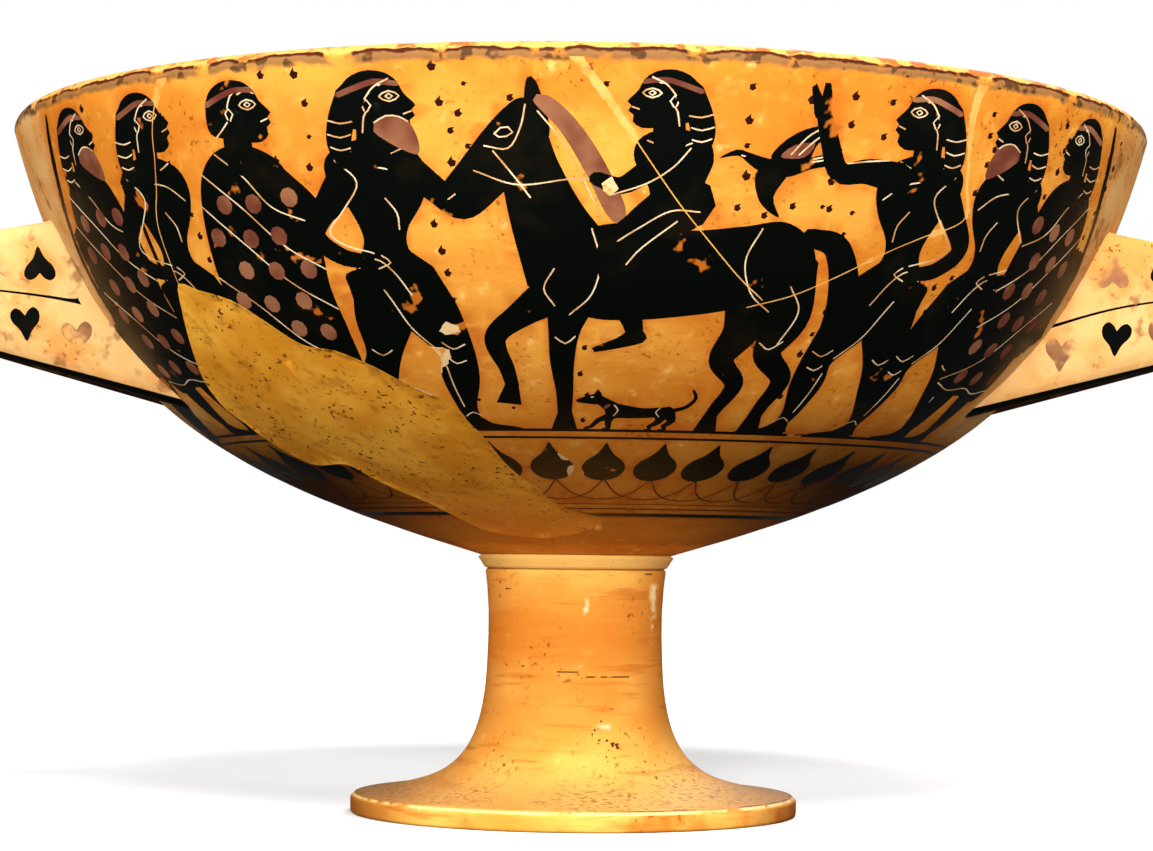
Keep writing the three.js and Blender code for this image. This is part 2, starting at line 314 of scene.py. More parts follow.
ARM_RAISED = """
black limb 4.6,49.8,5 9.6,50.4,4 14,50,3.2 16.4,54.8,2.7 18,59,2.1
black shape 17.2,58 17,60.4 17.6,63.4 18.4,63.4 18.6,61.4 19.6,63.2 20.2,62.6 19.6,60 19,58
cut line 6.6,52.4 9.8,52 13,51.4
"""
CLOAK = """
black limb -3.6,14,5.8 -4,9,5 -4.4,3,2.8
black shape -6,0.2 -6.1,1.9 -5.2,3.8 -3.2,3.4 -1.4,1.8 2,1 3.4,0.5 2.6,0.1
black limb 4,14,5.8 4.2,9,5 4,3,2.8
black shape 2.4,0.2 2.3,1.9 3.2,3.8 5.2,3.4 7,1.8 10.4,1 11.8,0.5 11,0.1
black shape -8.6,12.6 -9.6,22 -9.8,33 -9,42 -7.4,49 -4.2,53 0,54.2 4,53.2 7.2,50.4 9.4,44 10.4,37 10,30
  10.4,22 9.8,13 5,11.6 0,12.4 -4.6,11.4
cut line -7,50 -1,44 4.4,37.6 10.2,33.4
cut line -8.6,45 -2.6,38.4 3.6,31.4 10,26.4
cut line -9.8,33 -4,27.6 2.4,20 9.8,15.6
cut line -3.8,53 0.4,49 4,44 9.2,41.4
cut line -9.2,14.4 -4.4,13.2 0,14.2 5,13.4 9.6,14.8
"""
STAFF = """
black limb 0,50,0.9 0,0.6,0.9
black limb -1.6,50.4,1 0,51,1 1.8,50.4,1
"""
print("a cloak has", len(outlines(CLOAK)), "marks")

# %% A horse
HORSE = """
black shape -15.4,36 -11,39.4 -5,40.6 3,39.6 11,40.6 17,41.6 21.4,38.6 22.8,33.4 20.4,28.4 14,27.2 6,25.4
  -3,24.2 -10,24.6 -15.4,28
black limb -12.4,33,14 -16,41,10.4 -18.4,48.4,8 -19.6,54,6.6
black shape -17,58.6 -16,54 -18.4,50.6 -22.6,46.6 -26.6,42.8 -29.2,42 -31,43.2 -30.6,46 -27.6,50.4 -24.6,54.8
  -22,58 -19.8,59.6
black shape -19.2,58.8 -19,62.6 -17.8,62 -16.8,58
purple shape -18.2,59.2 -14.6,54.6 -11.2,48.4 -8.2,42 -6.2,40.4 -5.6,43 -9,50.6 -12.8,56.6 -16.4,60
black limb -12,30,9 -13.2,22.6,5 -13.4,16.4,3.8 -12.8,9.6,2.8 -12.6,4.6,2.4
black corners -14.8,0.1 -13.7,5 -11.4,5 -10.2,0.1
black limb -13.6,29.6,8 -19.6,25,4.6 -23.6,20.6,3.4 -22,14.6,2.5 -21.2,10.8,2.2
black corners -24,7 -22.4,11.2 -20.2,10.8 -19.8,6.4
black limb 17.4,33,12.4 20.2,25.4,7.6 18.6,18.6,4.8 22.4,13.4,3.6 21,7.4,2.8 20.4,4.4,2.6
black corners 18.2,0.1 19.2,4.8 21.8,4.8 22.8,0.1
black limb 14.6,31,10.4 13.6,23,6.4 11.4,17,4.2 14.6,12,3.2 13,6.6,2.6 12.4,4.4,2.4
black corners 10.2,0.1 11.2,4.6 13.6,4.6 14.6,0.1
black limb 21.2,39.4,3 25.8,37.6,4.2 28.6,29,5.2 28,18,4.2 26.4,9.4,1.6
cut line -10,39.6 -8.6,34 -9.6,28.6 -12.6,25
cut line 13.8,40.4 12,35 13.6,29.6 17,26.4
cut line -15,33 -16.4,29.6 -14.8,26.6
cut line -24.6,52.4 -21.4,52 -19.8,55.2 -19.2,58.6
cut line -29.6,44.2 -28.6,45
cut line -17.6,57.6 -14,52.6 -11,46.4 -8.6,41
cut line -26,48.6 -20,46.4 -12,47.4 -5.4,46.6
cut line -23.4,51.6 -20.4,47.4 -18.4,44.4
cut line -11.6,21 -13,19.6 -14.6,20.8
cut line 20.6,21 18.6,19.4 16.8,20.6
cut line 19.6,31 21.8,26.6 19.8,20.4
cut line -23.2,54.2 -22.4,55.1 -21.4,55.2 -20.8,54.4 -21.6,53.8 -22.6,53.7 -23.2,54.2
"""
print("a horse has", len(outlines(HORSE)), "marks")

# %% Its rider, a hound and a bird
RIDER = """
black limb 2.4,44,8.6 -2.6,39.6,7.2 -6.8,35.6,5 -5.2,29,4.6 -3.2,23.4,3 -2.8,21.4,2.6
black shape -1.4,20 -1.6,22.2 -3.6,22.4 -5.4,20.8 -9,18.8 -8.6,18
black shape -2,42 -2.6,46 -4.8,50.4 -4.4,53.4 -2,55 1.6,55.2 4.8,53.8 5.8,50.6 4.8,46.6 5.2,42.6 4,40.6
black limb 0.4,51.6,4.2 -3.4,48.4,3.3 -6.4,46.4,2.7 -9.6,47.4,2.2
cut line 4.6,42.6 0.6,42.6 -3.6,39.8 -6.4,37.6
cut line 1.6,41 -3,36.6 -5,33.8
cut line 2.6,52.4 0.4,49.4 -3,46.8 -7.4,45
cut line -3.2,53.4 0,52.2 3.2,53.4
"""
HOUND = """
black shape -9,8.6 -6,10 -1,9.6 4,10.6 7.6,11.4 9.4,9.6 9.2,7 6.6,5.6 2,5.4 -4,5.8 -8,6
black limb 7,9,4.6 10,11.6,3.4 12,13,3
black shape 10.4,12.4 11,15 12,16.6 12.8,14.8 15.6,13.6 17.6,12.4 17.2,11.6 14,11 11.6,10.8
black limb 7.4,7.6,4 8.2,4,2 8,1,1.6 9.4,0.5,1.2
black limb 6.4,7,3.4 11,4.4,1.8 12.6,1.8,1.4 14.4,1,1.1
black limb -7.4,8,5 -9.4,4.6,2.4 -7.6,2.4,1.8 -8,0.8,1.5 -6.4,0.5,1.2
black limb -6.4,7.6,4.4 -5.6,4,2.2 -3.4,2,1.6 -3.8,0.8,1.4 -2.4,0.5,1.1
black limb -9,8.8,1.6 -12.4,10.4,1.4 -14.4,13.8,1.1 -13.2,16.6,0.8
purple limb 8.6,10.6,1 9.6,9.6,1
cut line 13,13.6 13.6,13.5
cut line 7.2,10.6 6,8.6 7,6.4
cut line -5.4,9.8 -4.4,8 -5.6,6.2
"""
BIRD = """
black shape -9,2.6 -5,1.4 -1,-0.4 3,-0.2 6,1.6 8.2,3.2 11.4,2.6 8.6,4.4 6.6,4 3,3 -1,2.8 -4.4,3.6 -9.6,5
black shape -3.6,2 -5.6,6.4 -9.6,10 -4,9.4 0.4,6.6 2.4,2.8
black shape -1,1 1,-4.4 -0.6,-8.4 3.4,-5.4 4.6,0.4
purple shape -3.4,3.6 -5,6.4 -1.4,5.8 0.8,3.4
cut line -2.4,4 -5,7 -8,9.4
cut line -1,4 -3.4,7.4 -5.6,9.2
cut line -8.4,3.6 -5,2.8
cut line -8.6,4.4 -5.2,3.4
cut line 7,3.2 7.6,3.3
"""
print("a bird has", len(outlines(BIRD)), "marks")

# %% [markdown]
# ## The frieze
# The figures stand on a line a little above half the wall's height. The bowl widens upwards, so a
# figure drawn straight on the sheet would fan out. Each drawing is measured in true millimetres
# at the wall, and only drawn in a little towards the feet, as the painter did to fit them all.

# %% Standing a drawing on the wall
GROUND = WALL_START + 56.05
FIGURE_SCALE, FIGURE_WIDTH = 1.07, 1.08
TRUE_RADIUS, DRAWN_IN = 95, 0.6  # where a figure has its full width, and how fast it narrows below
HEAD_PLACE, HEAD_SIZE = (0.4, 55.6), 0.98
RIDER_HEAD_PLACE, RIDER_HEAD_SIZE = (-0.2, 56.4), 0.88
DAB_WANDER = 0.5  # how far a cloak's spot strays from its row


def on_wall(marks, place, lift=0.0):
    """Marks in true millimetres, moved to a place on the sheet given in degrees."""
    placed = []
    for paint, outline in marks:
        s = GROUND + (lift + outline[:, 1]) * FIGURE_SCALE
        radius = radius_at(s)
        width = outline[:, 0] * FIGURE_SCALE * FIGURE_WIDTH * (radius / TRUE_RADIUS) ** DRAWN_IN
        placed.append((paint, np.stack([(math.radians(place) + width / radius) * TURN, s], 1)))
    return placed


def place_on_wall(corners):
    """Corners given in degrees and distance up the wall, as points of the sheet."""
    return np.array([(math.radians(a) * TURN, WALL_START + s, *width) for a, s, *width in corners])


def stray(value):
    return value + chance.uniform(-DAB_WANDER, DAB_WANDER)


def dabs(left, right, low, high, pitch=5.6, size=1.4):
    """The purple spots of a cloak, as lines of a drawing."""
    spots = [(x, y) for k, y in enumerate(np.arange(low, high, pitch))
             for x in np.arange(left + pitch / 2 * (k % 2), right, pitch)]
    return "\n".join(f"purple spot {stray(x):.1f},{stray(y):.1f},{size}" for x, y in spots)


def person(place, body, arms=(), hair=LONG_HAIR, beard=False, mirrored=False, holding=None):
    """A standing figure put together from drawings; mirrored, it looks to the left."""
    marks = [m for drawing in (body, *arms) for m in outlines(drawing, mirrored=mirrored)]
    if body is CLOAK:
        marks += outlines(dabs(-7, 9, 17, 47), mirrored=mirrored)
    side = -1 if mirrored else 1
    for drawing in (HEAD, hair, *([BEARD] if beard else [])):
        marks += outlines(drawing, side * HEAD_PLACE[0], HEAD_PLACE[1], HEAD_SIZE, mirrored)
    if holding:
        marks += outlines(holding, side * 12.5)
    return on_wall(marks, place)


def rider(place):
    """A rider who looks the way the horse walks, to the left."""
    marks = [m for drawing in (HORSE, RIDER) for m in outlines(drawing)]
    for drawing in (HEAD, LONG_HAIR):
        marks += outlines(drawing, *RIDER_HEAD_PLACE, RIDER_HEAD_SIZE, mirrored=True)
    return on_wall(marks, place)


print("a standing person has", len(person(0, BARE_BODY)), "marks")

# %% The frieze of the front, between its two side lines, and the plainer one of the back
# each point: degrees, millimetres up the wall, and for a line its width
side_line = [(61.5, 124.5, 0.9), (62.6, 119, 1.7), (63.8, 111.8, 1.9), (65, 105.2, 1.7), (65.8, 97, 1.9),
             (65.5, 88, 2.4)]
spill_right = [(61, 101), (65.4, 101.5), (66.6, 97), (65.4, 91), (67.2, 85), (64.4, 80.5), (60.5, 76.5),
               (56, 71), (53, 76), (57, 90)]
spill_left = [(-61, 101), (-64.5, 103), (-65, 92), (-66.5, 86), (-71.2, 80), (-72.5, 70), (-76, 61),
              (-79, 54), (-72, 56), (-66, 66), (-60, 82)]
beside_handles = [("black", ragged(stroke(place_on_wall(side_line) * [side, 1, 1]), 0.1)) for side in (-1, 1)]
beside_handles += [("black", ragged(smooth(place_on_wall(spill), closed=True), 0.4))
                   for spill in (spill_left, spill_right)]
front = [
    *beside_handles, *person(-57, CLOAK, beard=True, holding=STAFF),
    *person(-45, BARE_BODY, arms=[ARM_ON_HIP]),
    *person(-33, CLOAK, arms=[ARM_FORWARD], hair=SHORT_HAIR),
    *person(-19, BARE_BODY, arms=[ARM_ON_HIP, ARM_FORWARD], beard=True),
    *on_wall(outlines(HOUND, scale=0.62, mirrored=True), 8), *rider(8),
    *on_wall(outlines(BIRD, scale=0.8, mirrored=True), 18.5, 49),
    *person(33.5, BARE_BODY, arms=[ARM_RAISED, ARM_ON_HIP], mirrored=True),
    *person(45.5, BARE_BODY, arms=[ARM_ON_HIP], beard=True, mirrored=True),
    *person(56.5, CLOAK, mirrored=True),
]
back = [
    *person(129, BARE_BODY, arms=[ARM_ON_HIP, ARM_FORWARD]), *rider(156),
    *person(-166, BARE_BODY, arms=[ARM_RAISED, ARM_ON_HIP], mirrored=True),
    *person(-147, CLOAK, arms=[ARM_FORWARD], mirrored=True),
    *person(-129, CLOAK, mirrored=True, holding=STAFF),
]
print("front marks:", len(front), "back marks:", len(back))

# %% [markdown]
# ## Rows of small marks
# Ivy leaves, buds, their linking arcs and the dots between the figures all repeat along a line.
# A node tree places one drawn mark again and again along a path, with a little of the hand's
# unevenness from random values with a fixed seed. The result is a flat mesh, and the corners of
# its faces are the outlines for the next step.

# %% Helpers for building a node tree
def new_tree(name, settings):
    """A node tree that takes and gives a mesh, with named settings beside it."""
    tree = bpy.data.node_groups.new(name, "GeometryNodeTree")
    for way in ("INPUT", "OUTPUT"):
        tree.interface.new_socket("Geometry", in_out=way, socket_type="NodeSocketGeometry")
    for setting, kind, value in settings:
        made = tree.interface.new_socket(setting, in_out="INPUT", socket_type="NodeSocket" + kind)
        if value is not None:
            made.default_value = value
    return tree


def connect(tree, wires):
    """Each wire is a node and its output, then the next node and its input."""
    for start, output, end, entry in wires:
        tree.links.new(start.outputs[output], end.inputs[entry])


def worked_out(tree, sums):
    """Math nodes by name. A term is a number, the name of an earlier sum, or a node and its output."""
    made = {}
    for name, (operation, *terms) in sums.items():
        made[name] = tree.nodes.new("ShaderNodeMath")
        made[name].operation = operation
        for term, socket in zip(terms, made[name].inputs):
            if isinstance(term, tuple):
                tree.links.new(term[0].outputs[term[1]], socket)
            elif term in made:
                tree.links.new(made[term].outputs[0], socket)
            else:
                socket.default_value = term
    return made


print("helpers ready:", [helper.__name__ for helper in (new_tree, connect, worked_out)])

# %% The tree that sets marks along a path
row_tree = new_tree("marks along a path", [
    ("Mark", "Object", None), ("Spacing", "Float", 5.0), ("Wander", "Float", 0.0),
    ("Size change", "Float", 0.0), ("Tilt", "Float", 0.0), ("Seed", "Int", 3)])
add = row_tree.nodes.new
given, made = add("NodeGroupInput"), add("NodeGroupOutput")
path, points, shift = (add("GeometryNode" + kind) for kind in ("MeshToCurve", "CurveToPoints", "SetPosition"))
points.mode = "LENGTH"
mark, place = add("GeometryNodeObjectInfo"), add("GeometryNodeInstanceOnPoints")
real, paint_it = add("GeometryNodeRealizeInstances"), add("GeometryNodeSetMaterial")
paint_it.inputs["Material"].default_value = bpy.data.materials.new("plain clay")
wander, size, tilt = (add("FunctionNodeRandomValue") for _ in range(3))
wander.data_type = "FLOAT_VECTOR"
flat_low, flat_high, turned = (add("ShaderNodeCombineXYZ") for _ in range(3))
sums = worked_out(row_tree, {
    "back by": ("MULTIPLY", (given, "Wander"), -1), "left tilt": ("MULTIPLY", (given, "Tilt"), -1),
    "smaller": ("SUBTRACT", 1, (given, "Size change")), "larger": ("ADD", (given, "Size change"), 1),
})
connect(row_tree, [
    (given, "Geometry", path, "Mesh"), (path, "Curve", points, "Curve"), (given, "Spacing", points, "Length"),
    (points, "Points", shift, "Geometry"), (sums["back by"], 0, flat_low, "X"),
    (sums["back by"], 0, flat_low, "Y"),
    (given, "Wander", flat_high, "X"), (given, "Wander", flat_high, "Y"),
    (flat_low, 0, wander, 0), (flat_high, 0, wander, 1), (wander, 0, shift, "Offset"),
    (shift, "Geometry", place, "Points"), (given, "Mark", mark, "Object"),
    (mark, "Geometry", place, "Instance"),
    (sums["smaller"], 0, size, 2), (sums["larger"], 0, size, 3), (size, 1, place, "Scale"),
    (sums["left tilt"], 0, tilt, 2), (given, "Tilt", tilt, 3), (tilt, 1, turned, "Z"),
    (turned, 0, place, "Rotation"), (place, "Instances", real, "Geometry"),
    (real, "Geometry", paint_it, "Geometry"), (paint_it, "Geometry", made, "Geometry"),
    *((given, "Seed", random_value, "Seed") for random_value in (wander, size, tilt)),
])
print("tree", row_tree.name, "has", len(row_tree.nodes), "nodes")

# %% Using a tree, and reading back its outlines
def new_object(name, data):
    thing = bpy.data.objects.new(name, data)
    bpy.context.scene.collection.objects.link(thing)
    return thing


def flat_object(name, points, faces=(), edges=()):
    mesh = bpy.data.meshes.new(name)
    mesh.from_pydata([(*p, 0) for p in points], edges, faces)
    return new_object(name, mesh)


def nodes_result(thing, tree, **values):
    """The mesh that a tree makes of an object. The settings are given by name."""
    modifier = thing.modifiers.new(tree.name, "NODES")
    modifier.node_group = tree
    sockets = {s.name: s.identifier for s in tree.interface.items_tree if s.in_out == "INPUT"}
    for name, value in values.items():
        modifier[sockets[name.replace("_", " ")]] = value
    bpy.context.view_layer.update()
    mesh = bpy.data.meshes.new_from_object(thing.evaluated_get(bpy.context.evaluated_depsgraph_get()))
    thing.modifiers.remove(modifier)
    return mesh


def row(paint, drawn, paths, **values):
    """A drawn mark set again and again along paths, as outlines in one paint."""
    mark = flat_object("mark", drawn, faces=[range(len(drawn))])
    corners, edges = [], []
    for line in paths:
        edges += [(len(corners) + k, len(corners) + k + 1) for k in range(len(line) - 1)]
        corners += [tuple(p) for p in line]
    guide = flat_object("path", corners, edges=edges)
    mesh = nodes_result(guide, row_tree, Mark=mark, **values)
    found = [(paint, np.array([mesh.vertices[v].co[:2] for v in face.vertices])) for face in mesh.polygons]
    for thing in (mark, guide):
        bpy.data.objects.remove(thing)
    bpy.data.meshes.remove(mesh)
    return found


trial = row("dot", [(0, 0), (1, 0), (0, 1)], [[(0, 0), (2, 0)]], Spacing=1.0)
print("a path of two steps gives", len(trial), "marks")

# %% The row of buds and their arcs
def both_sides(half):
    """A smooth closed outline from its right half, whose first and last points are on the middle line."""
    return smooth([*half, *((-x, y) for x, y in half[-2:0:-1])], closed=True)


BUD = both_sides([(0, 7.1), (0.5, 5.4), (1.3, 3.3), (2.7, 1.2), (3.4, -1.2), (3.1, -3.6), (2, -5.4),
                  (0, -6.2)])
BUDS = 42
pitch = 2 * EDGE / BUDS
bud_row = WALL_START + 45.5
line = [(-EDGE + pitch / 2, bud_row), (EDGE - pitch / 2 + 0.1, bud_row)]
wide = pitch / 8.2  # the sheet is wider than the wall down here, so a bud is stretched on it
buds = row("black", BUD * [wide, 1], [line],
           Spacing=pitch, Wander=0.25, Size_change=0.06, Tilt=0.05, Seed=11)
arc = stroke([(0, 0, 0.5), (pitch * 0.3, -5.2, 0.45), (pitch * 0.72, -8, 0.4), (pitch * 1.3, -8.2, 0.4),
              (pitch * 1.72, -5.4, 0.45), (pitch * 2, 0, 0.5)])
line = [(-EDGE + pitch / 2, bud_row - 6.1), (EDGE - pitch * 2.4, bud_row - 6.1)]
arcs = row("brown", arc, [line], Spacing=pitch, Wander=0.2, Seed=5)
print(len(buds), "buds and", len(arcs), "arcs")

# %% Dots between the figures, and ivy leaves for the handles
def height_path(place, low, high, lean=0.0):
    """A wavy path up the wall at a place in degrees, for a column of dots."""
    heights = np.arange(low, high + 0.1, 2.0)
    angles = [place + lean * (h - low) / 60 + 0.5 * math.sin(h / 4 + place) for h in heights]
    return [(math.radians(angle) * TURN, GROUND + h * FIGURE_SCALE) for angle, h in zip(angles, heights)]


dot = [(-0.55, -0.35), (0, -0.6), (0.55, -0.2), (0.3, 0.25), (0.6, 0.65), (0, 0.55), (-0.5, 0.4)]
# each column of dots: degrees, and the heights where it starts and ends
gaps = [(-51.5, 5, 64), (-39.5, 8, 64), (-28, 30, 64), (-25, 50, 64), (-12.5, 8, 40), (-12, 50, 64),
        (-9.5, 44, 66), (-6, 60, 66), (-8, 6, 18), (0.5, 3, 20), (2.5, 62, 66), (14.5, 44, 66), (17, 42, 47),
        (20, 44, 47), (22, 34, 44), (20.5, 56, 66), (23.5, 40, 66), (25.5, 10, 45), (29, 4, 18),
        (28.5, 56, 66), (39, 20, 66), (41, 26, 60), (50.5, 34, 66), (52, 40, 60), (62.5, 20, 62)]
gaps += [(a, 6, 64) for a in (121, 143, 176, -177, -158, -138, -121)]
dot_paths = [height_path(*gap, lean=2.0 if gap[0] > 0 else -2.0) for gap in gaps]
dots = row("dot", dot, dot_paths, Spacing=4.3, Wander=0.55, Size_change=0.3, Tilt=0.8, Seed=23)
LEAF = both_sides([(0, 3.2), (1.2, 1.2), (2.9, -0.5), (3.2, -2.1), (2.1, -3), (0.8, -2.5), (0, -1.6)])
print(len(dots), "dots; a leaf has", len(LEAF), "corners")

# %% [markdown]
# ## Lines round the cup, and the repairs
# Lines drawn while the wheel turns are bands between two distances along the section. The cup was
# once broken: a large lost piece is filled with toned plaster, set a hair lower than the old
# surface, pale plaster fills the cracks, and the black has flaked off in places. The repairs are
# outlines too, laid over the paint.

# %% Bands and repairs
# paint and two heights for a band, and degrees and height for a point, all up the wall
bands = [("black", 55.7, 56.5), ("black", 53.5, 54.2), ("brown", 26.3, 26.8), ("brown", 28.6, 28.9),
         ("black", 22.7, 24.5)]
bands = [(paint, WALL_START + low, WALL_START + high) for paint, low, high in bands]
lost = [(-46.5, 91), (-44, 89.5), (-39.5, 87), (-36.2, 82.8), (-32.5, 77.5), (-28.2, 75.8), (-24.2, 72.2),
        (-21.5, 68.8), (-18.2, 65.5), (-16.2, 63), (-14.5, 57.5), (-13.2, 53), (-11.5, 44.8), (-8.5, 37),
        (-3.2, 27), (6.8, 21), (2, 14), (-12, 10), (-28, 13), (-32.2, 17.8), (-35, 28), (-38.5, 35),
        (-40.5, 40), (-42.2, 45), (-51, 45.5), (-54, 54.2), (-54.2, 59), (-55.2, 63.2), (-54, 69.8),
        (-51.8, 75.5), (-49.5, 82), (-48.2, 86)]
cracks = [  # each point has the width of its plaster too
    [(-0.5, 126.5, 1.7), (2.2, 120.2, 1.3), (5.5, 111.5, 1), (9.2, 102.8, 1.1), (13.2, 95.2, 0.7),
     (16.2, 90.2, 0.4), (19, 86.5, 0.3)],
    [(-40, 126.5, 1.7), (-41.5, 122.8, 1.4), (-42.8, 118, 0.7), (-43.5, 113, 0.4), (-44.5, 107.8, 0.35),
     (-46, 101.8, 0.3), (-46.5, 91, 0.3)],
    [(38, 126.5, 2.2), (37.5, 123.5, 1.6), (37.5, 119.5, 1.3), (38, 115.2, 0.8), (38.8, 109.5, 0.4),
     (39.8, 103.5, 0.9), (35, 99.5, 1.2), (31.5, 96.5, 0.8), (26, 91, 0.3), (22, 87.5, 1.1), (17.5, 85, 0.4)],
]
flakes = [
    [(-18, 75.2), (-16.2, 76.5), (-14.5, 75.8), (-14.5, 74), (-16, 71), (-17.5, 66.2), (-19.8, 64.8),
     (-19.8, 69), (-17.8, 72.2), (-18.5, 73.8)],
    [(-15.1, 79.8), (-14, 81.3), (-12.9, 80.8), (-12.7, 79.4), (-13.8, 78.8)],
    [(2, 106.2), (2.8, 107), (3.4, 105.4), (2.8, 104), (2.1, 104.6)],
    [(-1.5, 43.8), (0.2, 44.5), (1.2, 41.5), (-0.2, 39.2), (-1.5, 40.8)],
    [(-2.8, 51.2), (-1.2, 53.2), (0.5, 50.8), (-0.5, 46.8), (-2.5, 47.2)],
]
repairs = [("filler", smooth(place_on_wall(lost), closed=True, step=2.0))]
repairs += [("cut", stroke(place_on_wall(crack) * [1, 1, 0] + [0, 0, 0.2])) for crack in cracks]
repairs += [("plaster", ragged(stroke(place_on_wall(crack)), 0.16)) for crack in cracks]
repairs += [("flake", ragged(smooth(place_on_wall(flake), closed=True), 0.3)) for flake in flakes]
print("repairs:", len(repairs))

# %% [markdown]
# ## Cutting the sheet along the paint
# A triangulation that must keep every outline as an edge gives triangles that never cross a brush
# stroke, so each triangle has one paint. A regular grid of extra points keeps them small enough to
# bend smoothly. Which paint a triangle gets is found by counting how often each outline winds
# round its middle: where strokes cross themselves, that still gives the inside.

# %% Which points are inside an outline
def winding(points, outline):
    """True for each point that an outline winds round."""
    a, b = outline, np.roll(outline, -1, axis=0)
    turns = np.zeros(len(points), int)
    for (ax, ay), (bx, by) in zip(a, b):
        side = (bx - ax) * (points[:, 1] - ay) - (points[:, 0] - ax) * (by - ay)
        turns += ((ay <= points[:, 1]) & (by > points[:, 1]) & (side > 0)).astype(int)
        turns -= ((ay > points[:, 1]) & (by <= points[:, 1]) & (side < 0)).astype(int)
    return turns != 0


def inside(points, outline):
    """The same, quicker: only the points in the outline's own box are looked at."""
    low, high = outline.min(0), outline.max(0)
    near = np.flatnonzero(((points >= low) & (points <= high)).all(1))
    found = np.zeros(len(points), bool)
    found[near[winding(points[near], outline)]] = True
    return found


corner = np.array([(0.0, 0.0), (2.0, 0.0), (2.0, 2.0)])
print("inside a corner:", inside(np.array([(1.5, 0.5), (0.5, 1.5)]), corner))

# %% Bands across a sheet
def band_edges(bands):
    return [height for _, low, high in bands for height in (low, high)]


def with_band_edges(rows, bands):
    return np.unique(np.round([*rows, *band_edges(bands)], 6))


def band_paints(heights, bands):
    """The paint of each face, from the height of its middle."""
    paints = np.full(len(heights), "", dtype="U8")
    for paint, low, high in bands:
        paints[(heights > low) & (heights < high)] = paint
    return paints


print("the wall's bands have edges at", np.round(band_edges(bands), 1))

# %% Cutting a sheet along its marks
SHEET_MARGIN = 0.25  # no mark comes nearer to the sheet's edge
SAME_LINE, SAME_POINT = 1e-5, 1e-4


def cut_sheet(columns, rows, marks, bands=(), folds=()):
    """Triangles of a sheet, and the paint of each: marks are outlines, bands run right across."""
    low = np.array([columns[0], rows[0]]) + SHEET_MARGIN
    high = np.array([columns[-1], rows[-1]]) - SHEET_MARGIN
    marks = [(paint, np.clip(outline, low, high)) for paint, outline in marks]
    rows = with_band_edges(rows, bands)
    grid = np.array([(x, y) for y in rows for x in columns])
    wide = len(columns)
    edges = [(k * wide + i, k * wide + i + 1) for k, y in enumerate(rows) for i in range(wide - 1)
             if k in (0, len(rows) - 1) or any(abs(y - v) < SAME_LINE for v in band_edges(bands))]
    edges += [(k * wide + i, (k + 1) * wide + i) for k in range(len(rows) - 1) for i, x in enumerate(columns)
              if i in (0, wide - 1) or any(abs(x - v) < SAME_LINE for v in folds)]
    corners = [grid]
    count = len(grid)
    for _, outline in marks:
        edges += [(count + k, count + (k + 1) % len(outline)) for k in range(len(outline))]
        corners.append(outline)
        count += len(outline)
    corners = [Vector(p) for p in np.concatenate(corners)]
    points, _, faces, *_ = delaunay_2d_cdt(corners, edges, [], 0, SAME_POINT)
    points, faces = np.array([tuple(p) for p in points]), np.array(faces)
    a, b, c = (points[faces[:, k]] for k in range(3))
    area = (b[:, 0] - a[:, 0]) * (c[:, 1] - a[:, 1]) - (c[:, 0] - a[:, 0]) * (b[:, 1] - a[:, 1])
    faces[area < 0] = faces[area < 0][:, ::-1]
    middles = (a + b + c) / 3
    paints = band_paints(middles[:, 1], bands)
    for paint, outline in marks:
        covered = inside(middles, outline)
        if paint == "flake":
            covered &= paints != ""  # only paint flakes off
        elif paint == "plaster":
            covered &= ~np.isin(paints, ["black", "purple"])  # and plaster shows only between figures
        paints[covered] = paint
    return points, faces, paints


square = cut_sheet(np.linspace(0, 10, 5), np.linspace(0, 10, 5),
                   [("black", np.array([(2, 2), (8, 2), (8, 7)]))])
print("a test square has", len(square[1]), "triangles,", (square[2] == "black").sum(), "of them black")

# %% The painted wall, flat
COLUMNS, WALL_ROWS = 181, 37
columns = np.linspace(-EDGE, EDGE, COLUMNS)
wall_rows = np.linspace(WALL_START, WALL_END, WALL_ROWS)
FILLER_SLOPE, FILLER_DEPTH = 0.35, 0.25  # the filler steps down by the depth over the slope's width
filler_edge = repairs[0][1]
following = np.roll(filler_edge, -1, axis=0)
inward = following - np.roll(filler_edge, 1, axis=0)
inward = np.stack([-inward[:, 1], inward[:, 0]], 1) / np.linalg.norm(inward, axis=1)[:, None]
area = np.sum(filler_edge[:, 0] * following[:, 1] - filler_edge[:, 1] * following[:, 0])
filler_inner = filler_edge + inward * (FILLER_SLOPE if area > 0 else -FILLER_SLOPE)
marks = [*dots, *arcs, *buds, *front, *back, *repairs, ("filler", filler_inner)]
sheet_points, sheet_faces, sheet_paints = cut_sheet(columns, wall_rows, marks, bands,
                                                    folds=(-EDGE / 2, 0, EDGE / 2))
within = filler_inner * 0.9995 + filler_inner.mean(0) * 0.0005  # a hair smaller, to clear its own corners
sunk = inside(sheet_points, within)
counts = {str(p): int((sheet_paints == p).sum()) for p in np.unique(sheet_paints)}
print("wall:", len(sheet_faces), "triangles;", counts)

# %% The rest of the sheet: under the foot, the foot and stem, the lip and the inside
def grid_sheet(columns, rows, bands=()):
    """Squares of a plain part of the sheet, each with the paint of its band."""
    rows = with_band_edges(rows, bands)
    wide = len(columns)
    points = np.array([(x, y) for y in rows for x in columns])
    corner = (np.arange(len(rows) - 1)[:, None] * wide + np.arange(wide - 1)).ravel()
    faces = np.stack([corner, corner + 1, corner + wide + 1, corner + wide], 1)
    return points, faces, band_paints((points[faces[:, 0], 1] + points[faces[:, 2], 1]) / 2, bands)


